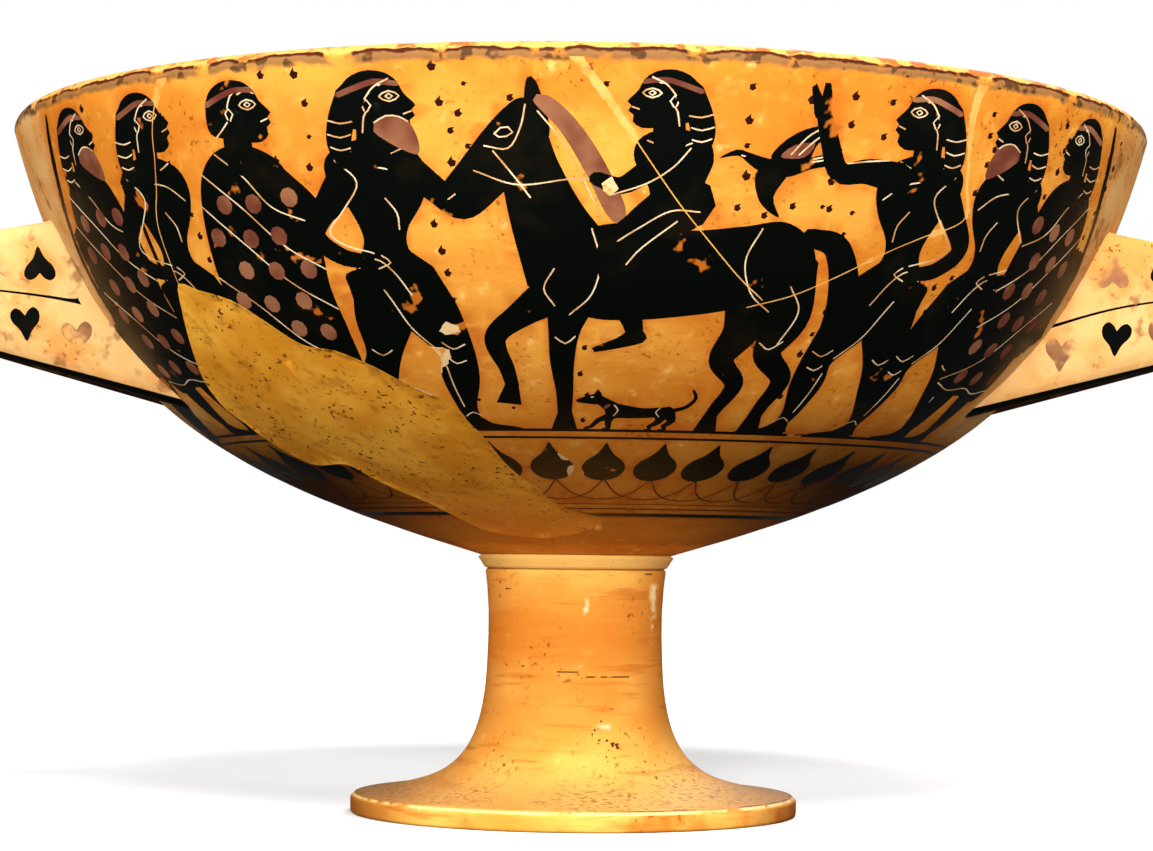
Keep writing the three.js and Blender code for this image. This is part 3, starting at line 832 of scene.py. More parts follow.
lower_rows = np.r_[along[:len(under) - 12:2], along[len(under) - 12:len(under) + len(stem)], WALL_START]
first_inside = len(under) + len(stem) + len(wall) + len(lip)
upper_rows = np.r_[WALL_END, along[first_inside - len(lip):first_inside], along[first_inside:-6:3],
                   along[-6:]]
MIDDLE = along[-1]
inside_bands = [("black", LIP_TOP + 4.2, LIP_TOP + 7.6), ("black", LIP_TOP + 8.6, MIDDLE - 21.5),
                ("black", MIDDLE - 20.4, MIDDLE - 19.6), ("black", MIDDLE - 10.4, MIDDLE - 9.2),
                ("black", MIDDLE - 2.2, MIDDLE)]
lower = grid_sheet(columns, lower_rows)
upper = grid_sheet(columns, upper_rows, inside_bands)
print("below the wall", len(lower[1]), "squares, above and inside", len(upper[1]))

# %% [markdown]
# ## Throwing the cup
# Now the flat sheet goes on the wheel. The node tree reads each point of the sheet: how far up it
# is gives a point of the section, and how far across gives the turn. A little relief along the
# section's own normal sinks the repair and leaves the faint rings of the potter's fingers. The
# seam at the back and the two poles close when points that meet are merged.

# %% The wheel's nodes
MEETING = 2e-6  # points nearer than this, in metres, are one point
wheel = new_tree("wheel", [
    ("Section", "Object", None), ("Sheet width of one radian", "Float", TURN * MM),
    ("Finger marks", "Float", 0.0001), ("Finger width", "Float", 0.009), ("Seed", "Float", 4.0),
    ("Clay", "Material", None)])
add = wheel.nodes.new
given, made = add("NodeGroupInput"), add("NodeGroupOutput")
spot, drawn, as_curve, sample, relief = (add("GeometryNode" + kind) for kind in (
    "InputPosition", "ObjectInfo", "MeshToCurve", "SampleCurve", "InputNamedAttribute"))
throw, close, soft, real, glaze = (add("GeometryNode" + kind) for kind in (
    "SetPosition", "MergeByDistance", "SetShadeSmooth", "RealizeInstances", "SetMaterial"))
parts, at, way = (add("ShaderNodeSeparateXYZ") for _ in range(3))
ring_place, point = (add("ShaderNodeCombineXYZ") for _ in range(2))
rings, off_spot = add("ShaderNodeTexNoise"), add("ShaderNodeMapRange")
sample.mode, sample.use_all_curves, relief.data_type = "LENGTH", True, "FLOAT"
for wheel_node, setting, value in ((relief, "Name", "relief"), (rings, "Scale", 1.0), (rings, "Detail", 1.0),
                                   (off_spot, "To Min", -1.0), (close, "Distance", MEETING)):
    wheel_node.inputs[setting].default_value = value
print("nodes of the wheel:", len(wheel.nodes))

# %% What the wheel works out, and its wires
sums = worked_out(wheel, {
    "turn": ("DIVIDE", (parts, "X"), (given, "Sheet width of one radian")),
    "sine": ("SINE", "turn"), "cosine": ("COSINE", "turn"), "minus cosine": ("MULTIPLY", "cosine", -1),
    "finger place": ("DIVIDE", (parts, "Y"), (given, "Finger width")),
    "finger depth": ("MULTIPLY", (off_spot, "Result"), (given, "Finger marks")),
    "depth": ("ADD", "finger depth", (relief, "Attribute")),
    "out": ("MULTIPLY", "depth", (way, "Z")), "radius": ("ADD", (at, "X"), "out"),
    "down": ("MULTIPLY", "depth", (way, "X")), "height": ("SUBTRACT", (at, "Z"), "down"),
    "x": ("MULTIPLY", "radius", "sine"), "y": ("MULTIPLY", "radius", "minus cosine"),
})
connect(wheel, [
    (spot, 0, parts, 0), (given, "Section", drawn, "Object"), (drawn, "Geometry", as_curve, "Mesh"),
    (as_curve, "Curve", sample, "Curves"), (parts, "Y", sample, "Length"), (sample, "Position", at, 0),
    (sample, "Tangent", way, 0), (sums["finger place"], 0, ring_place, "X"), (given, "Seed", ring_place, "Y"),
    (ring_place, 0, rings, "Vector"), (rings, 0, off_spot, "Value"), (sums["x"], 0, point, "X"),
    (sums["y"], 0, point, "Y"), (sums["height"], 0, point, "Z"), (given, "Geometry", throw, "Geometry"),
    (point, 0, throw, "Position"), (throw, "Geometry", close, "Geometry"),
    (close, "Geometry", soft, "Geometry"),
    (soft, "Geometry", real, "Geometry"), (real, "Geometry", glaze, "Geometry"),
    (given, "Clay", glaze, "Material"), (glaze, "Geometry", made, "Geometry"),
])
print("tree", wheel.name, "has", len(wheel.nodes), "nodes")

# %% [markdown]
# The piece also gets its own flat layout, on which its finished look can be baked to a picture: each
# part of the sheet has its place on a square, the painted front the largest. The inside is laid
# out as a disc. Each face keeps its paint as a number in an attribute named after the paint.

# %% Making a painted mesh from sheets
PAINTS = ["black", "brown", "purple", "cut", "dot", "filler", "plaster", "flake"]
SQUARE = 1024
LAYOUT = {  # left, bottom, width and height on the square
    "front left": (4, 640, 588, 380), "front right": (4, 252, 588, 380), "back left": (600, 730, 420, 290),
    "back right": (600, 432, 420, 290), "stem": (4, 140, 588, 104), "under": (4, 112, 588, 22),
    "inside": (600, 4, 420, 420), "right handle": (4, 4, 270, 102), "left handle": (280, 4, 270, 102),
    "right knob": (556, 4, 18, 102), "left knob": (578, 4, 18, 102),
}


def laid_out(corners, area, low, high):
    """Where corners between low and high come in an area of the square."""
    left, bottom_edge, wide, tall = LAYOUT[area]
    share = (corners - low) / (np.array(high) - low)
    return (np.array([left, bottom_edge]) + share * [wide, tall]) / SQUARE


def new_attribute(mesh, name, domain, values):
    values = np.ascontiguousarray(values, np.float32)
    mesh.attributes.new(name, "FLOAT", domain).data.foreach_set("value", values)


def painted_mesh(name, points, faces, paints, layout, **values):
    """An object with a paint for each face, a flat layout, and named values for each point."""
    mesh = bpy.data.meshes.new(name)
    mesh.from_pydata(points, [], [tuple(int(v) for v in face) for face in faces])
    for paint in PAINTS:
        new_attribute(mesh, paint, "FACE", paints == paint)
    for value_name, value in values.items():
        new_attribute(mesh, value_name, "POINT", np.broadcast_to(value, len(points)))
    flat_places = np.concatenate(layout).astype(np.float32).ravel()
    mesh.uv_layers.new(name="OFBake").data.foreach_set("uv", flat_places)
    return new_object(name, mesh)


def cup_layout(points, faces):
    """The corners of each of the cup's faces on the square."""
    areas = {"front left": (-EDGE / 2, 0), "front right": (0, EDGE / 2), "back left": (-EDGE, -EDGE / 2),
             "back right": (EDGE / 2, EDGE)}
    for face in faces:
        corners = points[face]
        x, y = corners.mean(0)
        if y > WALL_END:
            reach = (MIDDLE - corners[:, 1]) / (MIDDLE - WALL_END) / 2
            turn = corners[:, 0] / TURN
            disc = np.stack([0.5 + reach * np.sin(turn), 0.5 - reach * np.cos(turn)], 1)
            yield laid_out(disc, "inside", (0, 0), (1, 1))
        elif y < STEM_START:
            yield laid_out(corners, "under", (-EDGE, 0), (EDGE, STEM_START))
        elif y < WALL_START:
            yield laid_out(corners, "stem", (-EDGE, STEM_START), (EDGE, WALL_START))
        else:
            area, (left, right) = next((k, v) for k, v in areas.items() if v[0] <= x < v[1])
            yield laid_out(corners, area, (left, WALL_START), (right, WALL_END))


print("places on the square:", len(LAYOUT))

# %% The thrown cup
seam = np.concatenate([sheet_points, lower[0], upper[0]])
starts = np.cumsum([0, len(sheet_points), len(lower[0])])
faces = [f + start for sheet, start in zip((sheet_faces, lower[1], upper[1]), starts) for f in sheet]
paints = np.concatenate([sheet_paints, lower[2], upper[2]])
relief = np.zeros(len(seam))
relief[:len(sheet_points)][sunk] = -FILLER_DEPTH * MM
away_from_side = np.abs(np.abs(seam[:, 0]) / TURN - math.pi / 2)
beside_handle = np.interp(away_from_side, np.radians([24, 27.5]), [1, 0])
pale = beside_handle * np.interp(seam[:, 1] - WALL_START, [52, 64], [0, 1])
pale = np.where(seam[:, 1] > WALL_START, pale, 0)
halo = np.zeros(len(seam))
halo[np.unique(sheet_faces[np.isin(sheet_paints, ["black", "brown"])])] = 1  # a stain bled from the black
flat_cup = painted_mesh("flat cup", np.c_[seam * MM, np.zeros(len(seam))], faces, paints,
                        list(cup_layout(seam, faces)), relief=relief, pale=pale, halo=halo,
                        below_rim=LIP_TOP - seam[:, 1])
guide = bpy.data.meshes.new("section")
steps_along = [(k, k + 1) for k in range(len(section) - 1)]
guide.from_pydata([(r * MM, 0, z * MM) for r, z in section], steps_along, [])
guide = new_object("section", guide)
painted_clay = bpy.data.materials.new("painted clay")
cup = new_object("painted_cup", nodes_result(flat_cup, wheel, Section=guide, Clay=painted_clay))
for thing in (flat_cup, guide):
    bpy.data.objects.remove(thing)
print("thrown cup:", len(cup.data.polygons), "faces,", (np.array(cup.dimensions) / MM).round(1), "mm")

# %% [markdown]
# ## The handles
# Each handle is a strap pulled from one lump of clay, stuck on at two roots and bent round. Two
# rails, one along its top edge and one along its bottom edge, carry a section that is flat outside
# and inside and round at the edges, thicker where it grows out of the wall. The strap has its own
# flat sheet: across it runs the length from root to root, and up it the way round the section.

# %% The strap between its two rails
FACE = 22.0  # sheet height of the outer face; the inner face has as much again
ROOT_SUNK, TIP_BEND = 6, (4, 14)  # how deep a rail starts in the wall, and how it bends in at the tip
TOP_ROOT, TOP_TIP, BOTTOM_ROOT, BOTTOM_TIP = (RIM_HEIGHT - drop for drop in (19, 21.5, 58.5, 35.5))


def rail(root_height, climb, lead, tip_height):
    """A rail from the wall to the handle's tip; it leads straight out first, and climbs on the way."""
    side = -HANDLE_SPREAD / 2
    radius = np.interp(root_height, wall[:, 1], wall[:, 0]) - ROOT_SUNK
    root_x = math.sqrt(radius ** 2 - side ** 2)
    tip_x = RIM_RADIUS + HANDLE_REACH
    bend_height = tip_height - (tip_height - root_height - climb) / 4
    return np.array([(root_x, side, root_height), (root_x + ROOT_SUNK + lead, side, root_height + climb),
                     (tip_x - TIP_BEND[0], -TIP_BEND[1], bend_height), (tip_x, 0, tip_height)])


def on_rail(corners, t):
    """The points of a rail, and the way it runs there."""
    t = t[:, None]
    start, middle, end = np.diff(corners, axis=0)
    return bent(corners, t), 3 * ((1 - t) ** 2 * start + 2 * (1 - t) * t * middle + t * t * end)


top_rail, bottom_rail = rail(TOP_ROOT, -5, 7, TOP_TIP), rail(BOTTOM_ROOT, 9, 25, BOTTOM_TIP)
steps = np.linspace(0, 1, 201)
centre = (on_rail(top_rail, steps)[0] + on_rail(bottom_rail, steps)[0]) / 2
reached = np.r_[0, np.cumsum(np.linalg.norm(np.diff(centre, axis=0), axis=1))]
STRAP = 2 * reached[-1]
print("a strap is", round(STRAP, 1), "mm long from root to root")

# %% From the strap's sheet to the strap
LEVEL_POWER, THICK_POWER = 0.55, 0.7  # they make the section flat on its faces and round at its edges
FLARE_FADES, TURNS_IN_FROM, ROOT_LIMIT = 9, 0.75, 2.4


def strap_place(sheet):
    """Points of the strap on the cup's right; the back half mirrors the front half."""
    length, girth = sheet.T
    front = length <= STRAP / 2
    t = np.interp(np.where(front, length, STRAP - length), reached, steps)
    (high, high_way), (low, low_way) = on_rail(top_rail, t), on_rail(bottom_rail, t)
    way = (high_way + low_way)[:, :2]
    way /= np.linalg.norm(way, axis=1)[:, None]
    turn_in = np.clip((t - TURNS_IN_FROM) / (1 - TURNS_IN_FROM), 0, 1)[:, None] ** 2
    way = way * (1 - turn_in) + np.array([0, 1]) * turn_in
    outward = np.stack([way[:, 1], -way[:, 0]], 1) / np.linalg.norm(way, axis=1)[:, None]
    level = np.where(girth <= FACE, 1 - 2 * girth / FACE, 2 * girth / FACE - 3)
    turn = np.arccos(np.sign(level) * np.abs(level) ** (1 / LEVEL_POWER))
    full = STRAP_THICKNESS + ROOT_FLARE * np.exp(-FLARE_FADES * t)
    thick = np.sin(turn) ** THICK_POWER * np.where(girth <= FACE, 1, -1) * full / 2
    place = (high + low) / 2 + (high - low) / 2 * level[:, None]
    place[:, :2] += outward * thick[:, None]
    inner_limit = np.interp(place[:, 2], wall[:, 1], wall[:, 0]) - ROOT_LIMIT
    radius = np.hypot(place[:, 0], place[:, 1])
    place[:, :2] *= np.maximum(1, inner_limit / radius)[:, None]
    place[:, 1] *= np.where(front, 1, -1)
    return place


print("the middle of its outer face is at", strap_place(np.array([[STRAP / 4, FACE / 2]])).round(1))

# %% [markdown]
# Ivy leaves run along both halves of the outer face, the upper ones upright and the lower ones
# hanging, black and worn purple by turns, with a thin line between them and a heavy one below.

# %% Finding a place on a strap, and setting a leaf upright there
SMALL_STEP, LONGEST_STEP, TRIES = 0.2, 4, 25


def slopes(place):
    """A place on the strap, and how it moves for each sheet millimetre on and up."""
    here, on, up = strap_place(np.array([place, place + [SMALL_STEP, 0], place + [0, SMALL_STEP]]))
    return here, (on - here) / SMALL_STEP, (up - here) / SMALL_STEP


def find_on_strap(x, z):
    """The sheet place of a point seen from the front, closed in on step by step."""
    place = np.array([30.0, FACE / 2])
    for _ in range(TRIES):
        here, on, up = slopes(place)
        step = np.linalg.solve([[on[0], up[0]], [on[2], up[2]]], [x - here[0], z - here[2]])
        place = np.clip(place + np.clip(step, -LONGEST_STEP, LONGEST_STEP), [1, 1], [STRAP / 2 - 1, FACE - 1])
    return place


def upright(outline):
    """An outline turned on the sheet so that it stands upright on the sloping strap."""
    centre = outline.mean(0)
    _, on, up = slopes(centre)
    level = np.array([on[0], on[1], 0]) / math.hypot(on[0], on[1])
    across = np.array([[on @ level, up @ level], [on[2], up[2]]])
    return centre + np.linalg.solve(across, (outline - centre).T).T


print("the divider's start on the sheet:", find_on_strap(85.8, 92.3).round(1))


# %% Painting the two straps
def strap_marks(upper, lower, divider):
    """Two rows of leaves and the line between them, from points measured at their start."""
    found = []
    for leaf, places in ((LEAF, upper), ([(x, -y) for x, y in LEAF], lower)):
        (first, colour), (second, other) = [(find_on_strap(x, z), colour) for x, z, colour in places]
        gap = second - first
        for start, paint in ((first, colour), (second, other)):
            line = [start + gap * [2 * k, 0] for k in range(12)
                    if 0 < start[0] + gap[0] * 2 * k < STRAP - first[0] * 0.8]
            leaves = row(paint, leaf, [line], Spacing=2 * gap[0], Size_change=0.08, Tilt=0.1, Seed=31)
            found += [(paint, upright(outline)) for paint, outline in leaves]
    near, far = (find_on_strap(x, z) for x, z in divider)
    ends = [(near[0], near[1], 1.1), (near[0] + 1.4, near[1], 0.55), (far[0], far[1], 0.35),
            (STRAP / 2, FACE / 2 - 1, 0.35)]
    return [("black", stroke([*ends, *((STRAP - x, y, w) for x, y, w in ends[-2::-1])])), *found]


SIDES = {1: "right", -1: "left"}


def handle(side, marks):
    angles = np.linspace(0, math.pi, 15)
    levels = np.sign(np.cos(angles)) * np.abs(np.cos(angles)) ** LEVEL_POWER
    outer = np.unique(np.round(np.r_[(1 - levels) / 2, np.linspace(0.1, 0.9, 9)], 4)) * FACE
    outer = outer[np.r_[True, np.diff(outer) > 0.02]]
    rows = np.r_[outer, outer[1:] + FACE]
    # a heavy black line along the lower edge of the outer face, and past it the strap's underside in brown,
    # as painted shade
    lower_line = [("black", FACE * 0.945, FACE * 0.99), ("brown", FACE * 0.99, FACE * 1.16)]
    points, faces, paints = cut_sheet(np.linspace(0, STRAP, 73), rows, marks, lower_line)
    place = strap_place(points) * [side, 1, 1]
    layout = [laid_out(points[face], SIDES[side] + " handle", (0, 0), (STRAP, 2 * FACE)) for face in faces]
    return painted_mesh("handle", place * MM, faces, paints, layout, relief=0, pale=1, halo=0, below_rim=60)


def knob(side):
    """A short bar with a round end. Up its sheet come the bar first and then the ball."""
    points, faces, paints = grid_sheet(np.linspace(0, math.tau, 29), np.linspace(0, 1, 13))
    turn, share, bar = points[:, 0], points[:, 1], 0.3
    a = np.clip((share - bar) / (1 - bar), 0, 1) * math.pi / 2
    radius = KNOB_RADIUS * np.cos(a) * np.where(share == 0, 0, 1)
    ball = KNOB_LENGTH - KNOB_RADIUS
    reach = np.where(share < bar, -KNOB_BITE + (ball + KNOB_BITE) * share / bar,
                     ball + KNOB_RADIUS * np.sin(a))
    tip = RIM_RADIUS + HANDLE_REACH + STRAP_THICKNESS / 2
    height = (TOP_TIP + BOTTOM_TIP) / 2
    place = np.stack([side * (tip + reach), radius * np.cos(turn), height + radius * np.sin(turn)], 1)
    layout = [laid_out(points[face], SIDES[side] + " knob", (0, 0), (math.tau, 1)) for face in faces]
    paints[:] = "black"
    return painted_mesh("knob", place * MM, faces, paints, layout, relief=0, pale=0, halo=0, below_rim=60)


print("for each side:", [make.__name__ for make in (handle, knob)])

# %% Both handles with their knobs, joined to the cup
right_marks = strap_marks([(97.8, 101.4, "purple"), (108.4, 103, "black")],
                          [(89.2, 88.8, "purple"), (99.8, 91.9, "black")],
                          [(84, 92), (106.6, 97.7)])
left_marks = strap_marks([(98.9, 100.7, "black"), (107.6, 101.6, "purple")],
                         [(92.8, 89.8, "purple"), (102.8, 92.5, "black")],
                         [(91.8, 95.2), (106, 97.3)])
added = [handle(1, right_marks), handle(-1, left_marks), knob(1), knob(-1)]
for thing in added:
    shape = bmesh.new()
    shape.from_mesh(thing.data)
    bmesh.ops.remove_doubles(shape, verts=shape.verts, dist=MEETING)
    bmesh.ops.holes_fill(shape, edges=[e for e in shape.edges if e.is_boundary])
    bmesh.ops.recalc_face_normals(shape, faces=shape.faces)
    for face in shape.faces:
        face.smooth = True
    shape.to_mesh(thing.data)
    shape.free()
    thing.data.materials.append(painted_clay)
with bpy.context.temp_override(active_object=cup, selected_editable_objects=[cup, *added]):
    bpy.ops.object.join()
print("cup with handles:", len(cup.data.polygons), "faces,", (np.array(cup.dimensions) / MM).round(1), "mm")

# %% [markdown]
# ## Clay, black gloss and wear
# The body is orange clay with soft blotches, the black is a fine slip that fired smoother, and the
# purple is a thin colour over it. Each paint's attribute mixes its colour over the clay. Noise on
# Object coordinates, which stay with the cup, breaks the paints up where they are worn.

# %% Helpers for mixing a finish
def rgb(r, g, b):
    """A colour as a picture has it, 0 to 255, turned into the light values that a shader takes."""
    return tuple((v / 255 / 12.92) if v <= 10 else ((v / 255 + 0.055) / 1.055) ** 2.4
                 for v in (r, g, b)) + (1.0,)


nodes, wires = None, None


def node(kind, **settings):
    made = nodes.new(kind)
    for name, value in settings.items():
        if name in made.inputs:
            made.inputs[name].default_value = value
        else:
            setattr(made, name, value)
    return made


def join(value, socket):
    """A socket takes either a wire or a number."""
    if isinstance(value, bpy.types.NodeSocket):
        wires.new(value, socket)
    else:
        socket.default_value = value


def mixed(share, below, above):
    made = node("ShaderNodeMix", data_type="RGBA")
    for value, socket in ((share, made.inputs[0]), (below, made.inputs[6]), (above, made.inputs[7])):
        join(value, socket)
    return made.outputs[2]


def calc(operation, a, b=0.0):
    made = node("ShaderNodeMath", operation=operation, use_clamp=operation == "SUBTRACT")
    join(a, made.inputs[0])
    join(b, made.inputs[1])
    return made.outputs[0]


print("helpers ready:", [helper.__name__ for helper in (rgb, node, join, mixed, calc)])

# %% Masks from values, noise and attributes
def spread(value, low, high, to_low=0.0, to_high=1.0):
    """A share that goes smoothly from to_low to to_high while a value goes from low to high."""
    made = node("ShaderNodeMapRange", interpolation_type="SMOOTHSTEP")
    for v, socket in zip((value, low, high, to_low, to_high), made.inputs[:5]):
        join(v, socket)
    return made.outputs[0]


def noise(scale, detail, stretch=(1, 1, 1)):
    mapping = node("ShaderNodeMapping", Scale=stretch)
    wires.new(coordinates, mapping.inputs[0])
    made = node("ShaderNodeTexNoise", Scale=scale, Detail=detail, Roughness=0.6)
    wires.new(mapping.outputs[0], made.inputs["Vector"])
    return made.outputs[0]


def attribute(name):
    return node("ShaderNodeAttribute", attribute_name=name).outputs["Fac"]


painted_clay.use_nodes = True
nodes, wires = painted_clay.node_tree.nodes, painted_clay.node_tree.links
coordinates = node("ShaderNodeTexCoord").outputs["Object"]
shader = nodes["Principled BSDF"]
print("material ready:", painted_clay.name)

# %% Helpers for layers and masks
def between(value, low, high, soft):
    """1 between low and high, and 0 beyond them, with soft edges."""
    return calc("MULTIPLY", spread(value, low - soft, low + soft), spread(value, high + soft, high - soft))


def share_of(amount, *masks):
    """All the masks together."""
    for mask in masks:
        amount = calc("MULTIPLY", amount, mask)
    return amount


def layered(base, layers):
    """Colours laid over a base in turn, each as strongly as its masks say."""
    for colour, *masks in layers:
        colour = rgb(*colour) if isinstance(colour, tuple) else colour
        base = mixed(share_of(*masks), base, colour)
    return base


print("helpers ready:", [helper.__name__ for helper in (between, share_of, layered)])

# %% The bare clay
below, pale = attribute("below_rim"), attribute("pale")
on_foot = spread(below, LIP_TOP - WALL_START - 2, LIP_TOP - WALL_START + 1)
broad, medium, small = noise(24, 3, (1, 1, 1.6)), noise(62, 3), noise(140, 3)
fine, dust = noise(300, 2), noise(950, 1)
streaks, thin_streaks = noise(15, 3, (1, 1, 7)), noise(60, 2, (1, 1, 10))
clay = mixed(spread(broad, 0.36, 0.66), rgb(210, 126, 36), rgb(230, 158, 60))
clay = layered(clay, [
    ((202, 112, 28), spread(medium, 0.5, 0.72, 0, 0.6)),
    ((206, 118, 34), spread(streaks, 0.5, 0.75, 0, 0.45)),
    ((238, 176, 84), spread(fine, 0.52, 0.8, 0, 0.5)),
    ((202, 116, 30), spread(streaks, 0.46, 0.62), on_foot, 0.6),
    ((228, 172, 80), spread(broad, 0.36, 0.62, 0.25, 0.95), on_foot),
    ((184, 98, 28), spread(thin_streaks, 0.54, 0.7), on_foot, 0.6),
    ((224, 176, 112), pale, spread(small, 0.3, 0.6, 0.7, 0.95)),
    ((208, 128, 48), pale, spread(medium, 0.44, 0.64, 0, 0.7)),
    ((130, 76, 36), pale, spread(small, 0.58, 0.68, 0, 0.7)),
    ((190, 92, 22), attribute("halo"), spread(small, 0.35, 0.65, 0.15, 0.7)),
    ((110, 56, 18), spread(dust, 0.62, 0.7), spread(medium, 0.42, 0.7, 0.0, 0.8)),
    ((80, 40, 16), spread(dust, 0.66, 0.72), spread(medium, 0.54, 0.62), on_foot),
    ((240, 192, 110), spread(fine, 0.68, 0.76, 0, 0.5)),
])
print("clay nodes:", len(nodes))

# %% Chips and scratches of the stem, and painted shade at its sides
axes = node("ShaderNodeSeparateXYZ")
wires.new(coordinates, axes.inputs[0])
x, y, z = axes.outputs
front_side, from_middle = spread(y, 0.001, -0.001), calc("ABSOLUTE", x)
clay = layered(clay, [
    ((202, 110, 28), on_foot, between(z, 0.029, 0.041, 0.007), spread(streaks, 0.36, 0.56), 0.6),
    # painted shade: the stem darker towards its left and right sides
    ((190, 98, 24), on_foot, spread(from_middle, 0.008, 0.018), spread(z, 0.008, 0.02), 0.6),
])
for left, right, height in ((-3.4, 0.6, 27.7), (2.2, 10.4, 26.8), (-13.4, -12.2, 43.2), (13.2, 14.6, 46.2)):
    dash = share_of(between(x, left * MM, right * MM, 0.1 * MM),
                    between(z, (height - 0.13) * MM, (height + 0.13) * MM, 0.1 * MM))
    clay = mixed(share_of(dash, front_side, spread(fine, 0.4, 0.5)), clay, rgb(66, 34, 14))
for left, right, low, high in ((14.2, 15.6, 41.2, 44.2), (14.6, 15.3, 33, 41.5), (1.5, 2.4, 38.6, 41.4),
                               (4.4, 6.8, 17.1, 17.8)):
    chip = share_of(between(x, left * MM, right * MM, 0.5 * MM), between(z, low * MM, high * MM, 0.6 * MM))
    clay = mixed(share_of(chip, front_side, spread(fine, 0.47, 0.6, 0, 0.8)), clay, rgb(244, 214, 160))
print("with chips:", len(nodes))

# %% Dust and painted shade on the foot, a painted highlight on its arris, and painted light and shade on the ring
arris = LIP_TOP - STEM_START - FOOT_EDGE
# the top of the foot: it takes dust specks and tone, and also painted shade at its sides
foot_dust_and_shade = share_of(spread(below, arris - 26, arris - 8), spread(below, arris + 0.3, arris - 0.3))
clay = layered(clay, [
    ((206, 154, 84), foot_dust_and_shade, spread(medium, 0.3, 0.6, 0.45, 0.8)),
    # painted shade: the foot's top darker towards its left and right sides
    ((126, 80, 32), foot_dust_and_shade, spread(from_middle, 0.018, 0.042), 0.8),
    ((104, 66, 28), foot_dust_and_shade, spread(dust, 0.5, 0.64, 0, 0.6), spread(medium, 0.34, 0.6, 0.2, 1)),
    ((90, 50, 22), between(below, arris - 1.1, arris - 0.5, 0.25), spread(x, 0, 0.01),
     spread(small, 0.4, 0.52)),
    # a painted highlight: a pale line along the foot's upper arris
    ((236, 196, 124), between(below, arris - 0.3, arris + 0.35, 0.2), spread(small, 0.4, 0.5)),
    ((196, 96, 18), spread(below, arris + 0.3, arris + 0.8), spread(medium, 0.46, 0.66, 0, 0.8)),
    # painted shade: the foot's edge darker towards its left and right sides
    ((140, 70, 18), spread(below, arris - 0.4, arris + 0.6), spread(from_middle, 0.026, 0.043), 0.85),
])
ring = LIP_TOP - WALL_START
# painted light: the ring under the bowl is painted paler, as if brightly lit
clay = mixed(share_of(between(below, ring + 0.6, ring + 4.2, 0.3), 0.7), clay, rgb(232, 184, 104))
# painted shade: a dark line at each edge of the ring, as shadow in its grooves
for level in (ring + 0.1, ring + 4.5):
    clay = mixed(share_of(between(below, level - 0.2, level + 0.2, 0.15), 0.8), clay, rgb(96, 50, 18))
print("with dust:", len(nodes))

# %% Paints over the clay, thin and broken where they are worn
black_paint = mixed(spread(medium, 0.52, 0.72, 0, 0.8), rgb(5, 7, 5), rgb(22, 17, 8))
surface = mixed(calc("SUBTRACT", attribute("black"), spread(small, 0.66, 0.7, 0, 0.8)), clay, black_paint)
rubbed = calc("SUBTRACT", 1.0, share_of(pale, spread(small, 0.4, 0.56, 0.97, 0.15)))
surface = layered(surface, [
    ((70, 40, 14), calc("SUBTRACT", attribute("brown"), spread(small, 0.5, 0.75, 0, 0.7))),
    (mixed(spread(medium, 0.35, 0.65), rgb(100, 46, 34), rgb(150, 98, 66)), attribute("purple"), rubbed),
    ((44, 14, 8), attribute("dot")),
    (mixed(spread(small, 0.4, 0.6), rgb(196, 140, 84), rgb(232, 206, 164)), attribute("cut")),
    ((226, 190, 136), attribute("flake"), spread(fine, 0.36, 0.44)),
])
filler_tone = mixed(spread(medium, 0.35, 0.66), rgb(214, 138, 32), rgb(240, 172, 58))
filler_tone = layered(filler_tone, [
    ((156, 92, 26), spread(fine, 0.56, 0.68, 0, 0.45)),
    ((96, 56, 20), spread(dust, 0.62, 0.68), spread(small, 0.42, 0.56)),
])
surface = layered(surface, [
    (filler_tone, attribute("filler"), spread(below, 114, 90)),
    ((230, 174, 92), attribute("plaster"), spread(small, 0.36, 0.56, 0.15, 0.9)),
])
print("paint nodes:", len(nodes))

# %% The worn rim, and painted shade on the underside
edge = calc("ADD", below, spread(small, 0.25, 0.75, 0, 1.3))
whole = calc("SUBTRACT", 1.0, attribute("plaster"))
worn = share_of(between(edge, 3.2, 4.9, 0.5), whole)
surface = layered(surface, [
    ((124, 88, 52), worn, spread(small, 0.32, 0.5, 0.15, 0.9)),
    ((56, 34, 18), worn, spread(fine, 0.54, 0.62, 0, 0.8)),
    ((70, 28, 14), between(edge, 2.55, 3.5, 0.2), whole, spread(small, 0.36, 0.46)),
])
lip_share = share_of(between(edge, -2.2, 2.75, 0.15), whole)
surface = layered(surface, [
    ((222, 160, 82), lip_share),
    ((160, 76, 28), lip_share, spread(fine, 0.48, 0.6, 0, 0.85)),
])
# Painted shade: the lower bowl is darkened almost to black, lightly at the middle of front and back and
# strongly towards the sides, but not over the black or most of the filler.
underside_painted_shade = share_of(spread(below, 58, 90), spread(below, 126, 122),
                     spread(from_middle, 0.01, 0.05, 0.2, 0.95))
spared = calc("SUBTRACT", 1.0, calc("ADD", attribute("black"), share_of(attribute("filler"), 0.85)))
surface = mixed(share_of(underside_painted_shade, spared), surface, rgb(34, 17, 6))
wires.new(surface, shader.inputs["Base Color"])
shader.inputs["Specular IOR Level"].default_value = 0.05
print("rim nodes:", len(nodes))

# %% Gloss and grain
matt = mixed(attribute("black"), (0.65, 0.65, 0.65, 1), (0.35, 0.35, 0.35, 1))
rough = node("ShaderNodeSeparateColor")
wires.new(matt, rough.inputs[0])
wires.new(rough.outputs[0], shader.inputs["Roughness"])
grain = node("ShaderNodeBump", Strength=0.35, Distance=0.00012)
wires.new(noise(500, 1, (1, 1, 2.5)), grain.inputs["Height"])
wires.new(grain.outputs[0], shader.inputs["Normal"])
print("whole material:", len(nodes), "nodes")

# %% [markdown]
# ## Floor, light and camera
# The photograph is lit softly from the front and from above, and the cup's underside stays dark.
# So the floor looks pale but throws no light back up: only the camera's own rays see its paleness.
# The camera stands low and close, at the height of the ring, and looks up a little.

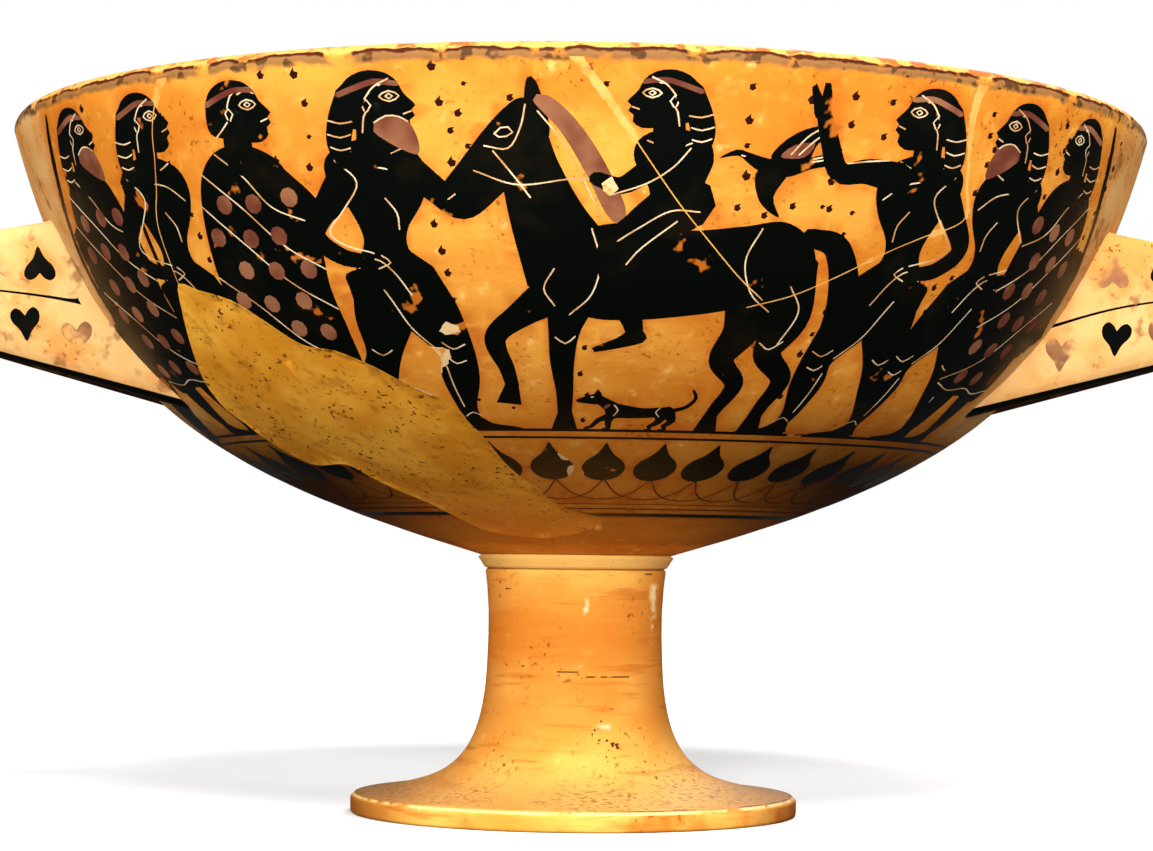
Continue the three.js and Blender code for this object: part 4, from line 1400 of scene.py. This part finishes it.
# %% The room
FLOOR_SIZE, WORLD_GLOW = 2.6, 0.03
bpy.ops.mesh.primitive_plane_add(size=FLOOR_SIZE)
table = bpy.context.object
table.name = "floor"
pale_floor = bpy.data.materials.new("pale floor")
pale_floor.use_nodes = True
nodes, wires = pale_floor.node_tree.nodes, pale_floor.node_tree.links
nodes["Principled BSDF"].inputs["Roughness"].default_value = 0.9
wires.new(mixed(node("ShaderNodeLightPath").outputs["Is Camera Ray"], (0.02, 0.02, 0.02, 1),
                (0.9, 0.9, 0.9, 1)),
          nodes["Principled BSDF"].inputs["Base Color"])
table.data.materials.append(pale_floor)


def softbox(name, place, size, power, aim=(0, 0, 0.08)):
    """A square light of a size in metres and a power in watts, turned to the cup."""
    light = bpy.data.lights.new(name, "AREA")
    light.size, light.energy = size, power
    thing = new_object(name, light)
    thing.location = place
    thing.rotation_euler = (Vector(aim) - Vector(place)).to_track_quat("-Z", "Y").to_euler()


softbox("key", (-0.4, -4.25, 1.12), 1.2, 235)
softbox("left", (-3.85, -2.1, 0.85), 1.2, 72)
softbox("right", (3.85, -2.1, 0.85), 1.2, 72)
softbox("above", (0.3, -2.7, 3.3), 1.6, 250, aim=(0, 0, 0.05))
softbox("back", (0.8, 3.4, 2.6), 1.6, 150)

# %% A white backdrop that only the camera sees
world = bpy.data.worlds.new("white room")
bpy.context.scene.world = world
world.use_nodes = True
nodes, wires = world.node_tree.nodes, world.node_tree.links
backdrop, seen = node("ShaderNodeBackground", Color=(1, 1, 1, 1), Strength=1.0), node("ShaderNodeLightPath")
both = node("ShaderNodeMixShader")
nodes["Background"].inputs["Color"].default_value = (1, 1, 1, 1)
nodes["Background"].inputs["Strength"].default_value = WORLD_GLOW
wires.new(seen.outputs["Is Camera Ray"], both.inputs[0])
wires.new(nodes["Background"].outputs[0], both.inputs[1])
wires.new(backdrop.outputs[0], both.inputs[2])
wires.new(both.outputs[0], nodes["World Output"].inputs["Surface"])
print("world:", world.name)

# %% The camera
DISTANCE, EYE_HEIGHT = 0.5578, 0.0496  # metres
TILT_UP, TURNED, ROLLED = 2.597, 0.018, 0.6526  # degrees
LENS, SENSOR = 89.53, 36  # millimetres
lens = bpy.data.cameras.new("photograph")
lens.lens, lens.sensor_width, lens.clip_start = LENS, SENSOR, 0.01
camera = new_object("photograph", lens)
turned, tilted, rolled = (Matrix.Rotation(math.radians(angle), 4, axis)
                          for angle, axis in ((TURNED, "Z"), (90 + TILT_UP, "X"), (ROLLED, "Z")))
camera.matrix_world = Matrix.Translation((0, -DISTANCE, EYE_HEIGHT)) @ turned @ tilted @ rolled
bpy.context.scene.camera = camera
bpy.context.scene.view_settings.view_transform = "Standard"
print("camera at", tuple(round(v, 4) for v in camera.location))

# %% Handing over
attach(cup, "root")
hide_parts("kylix_cup")
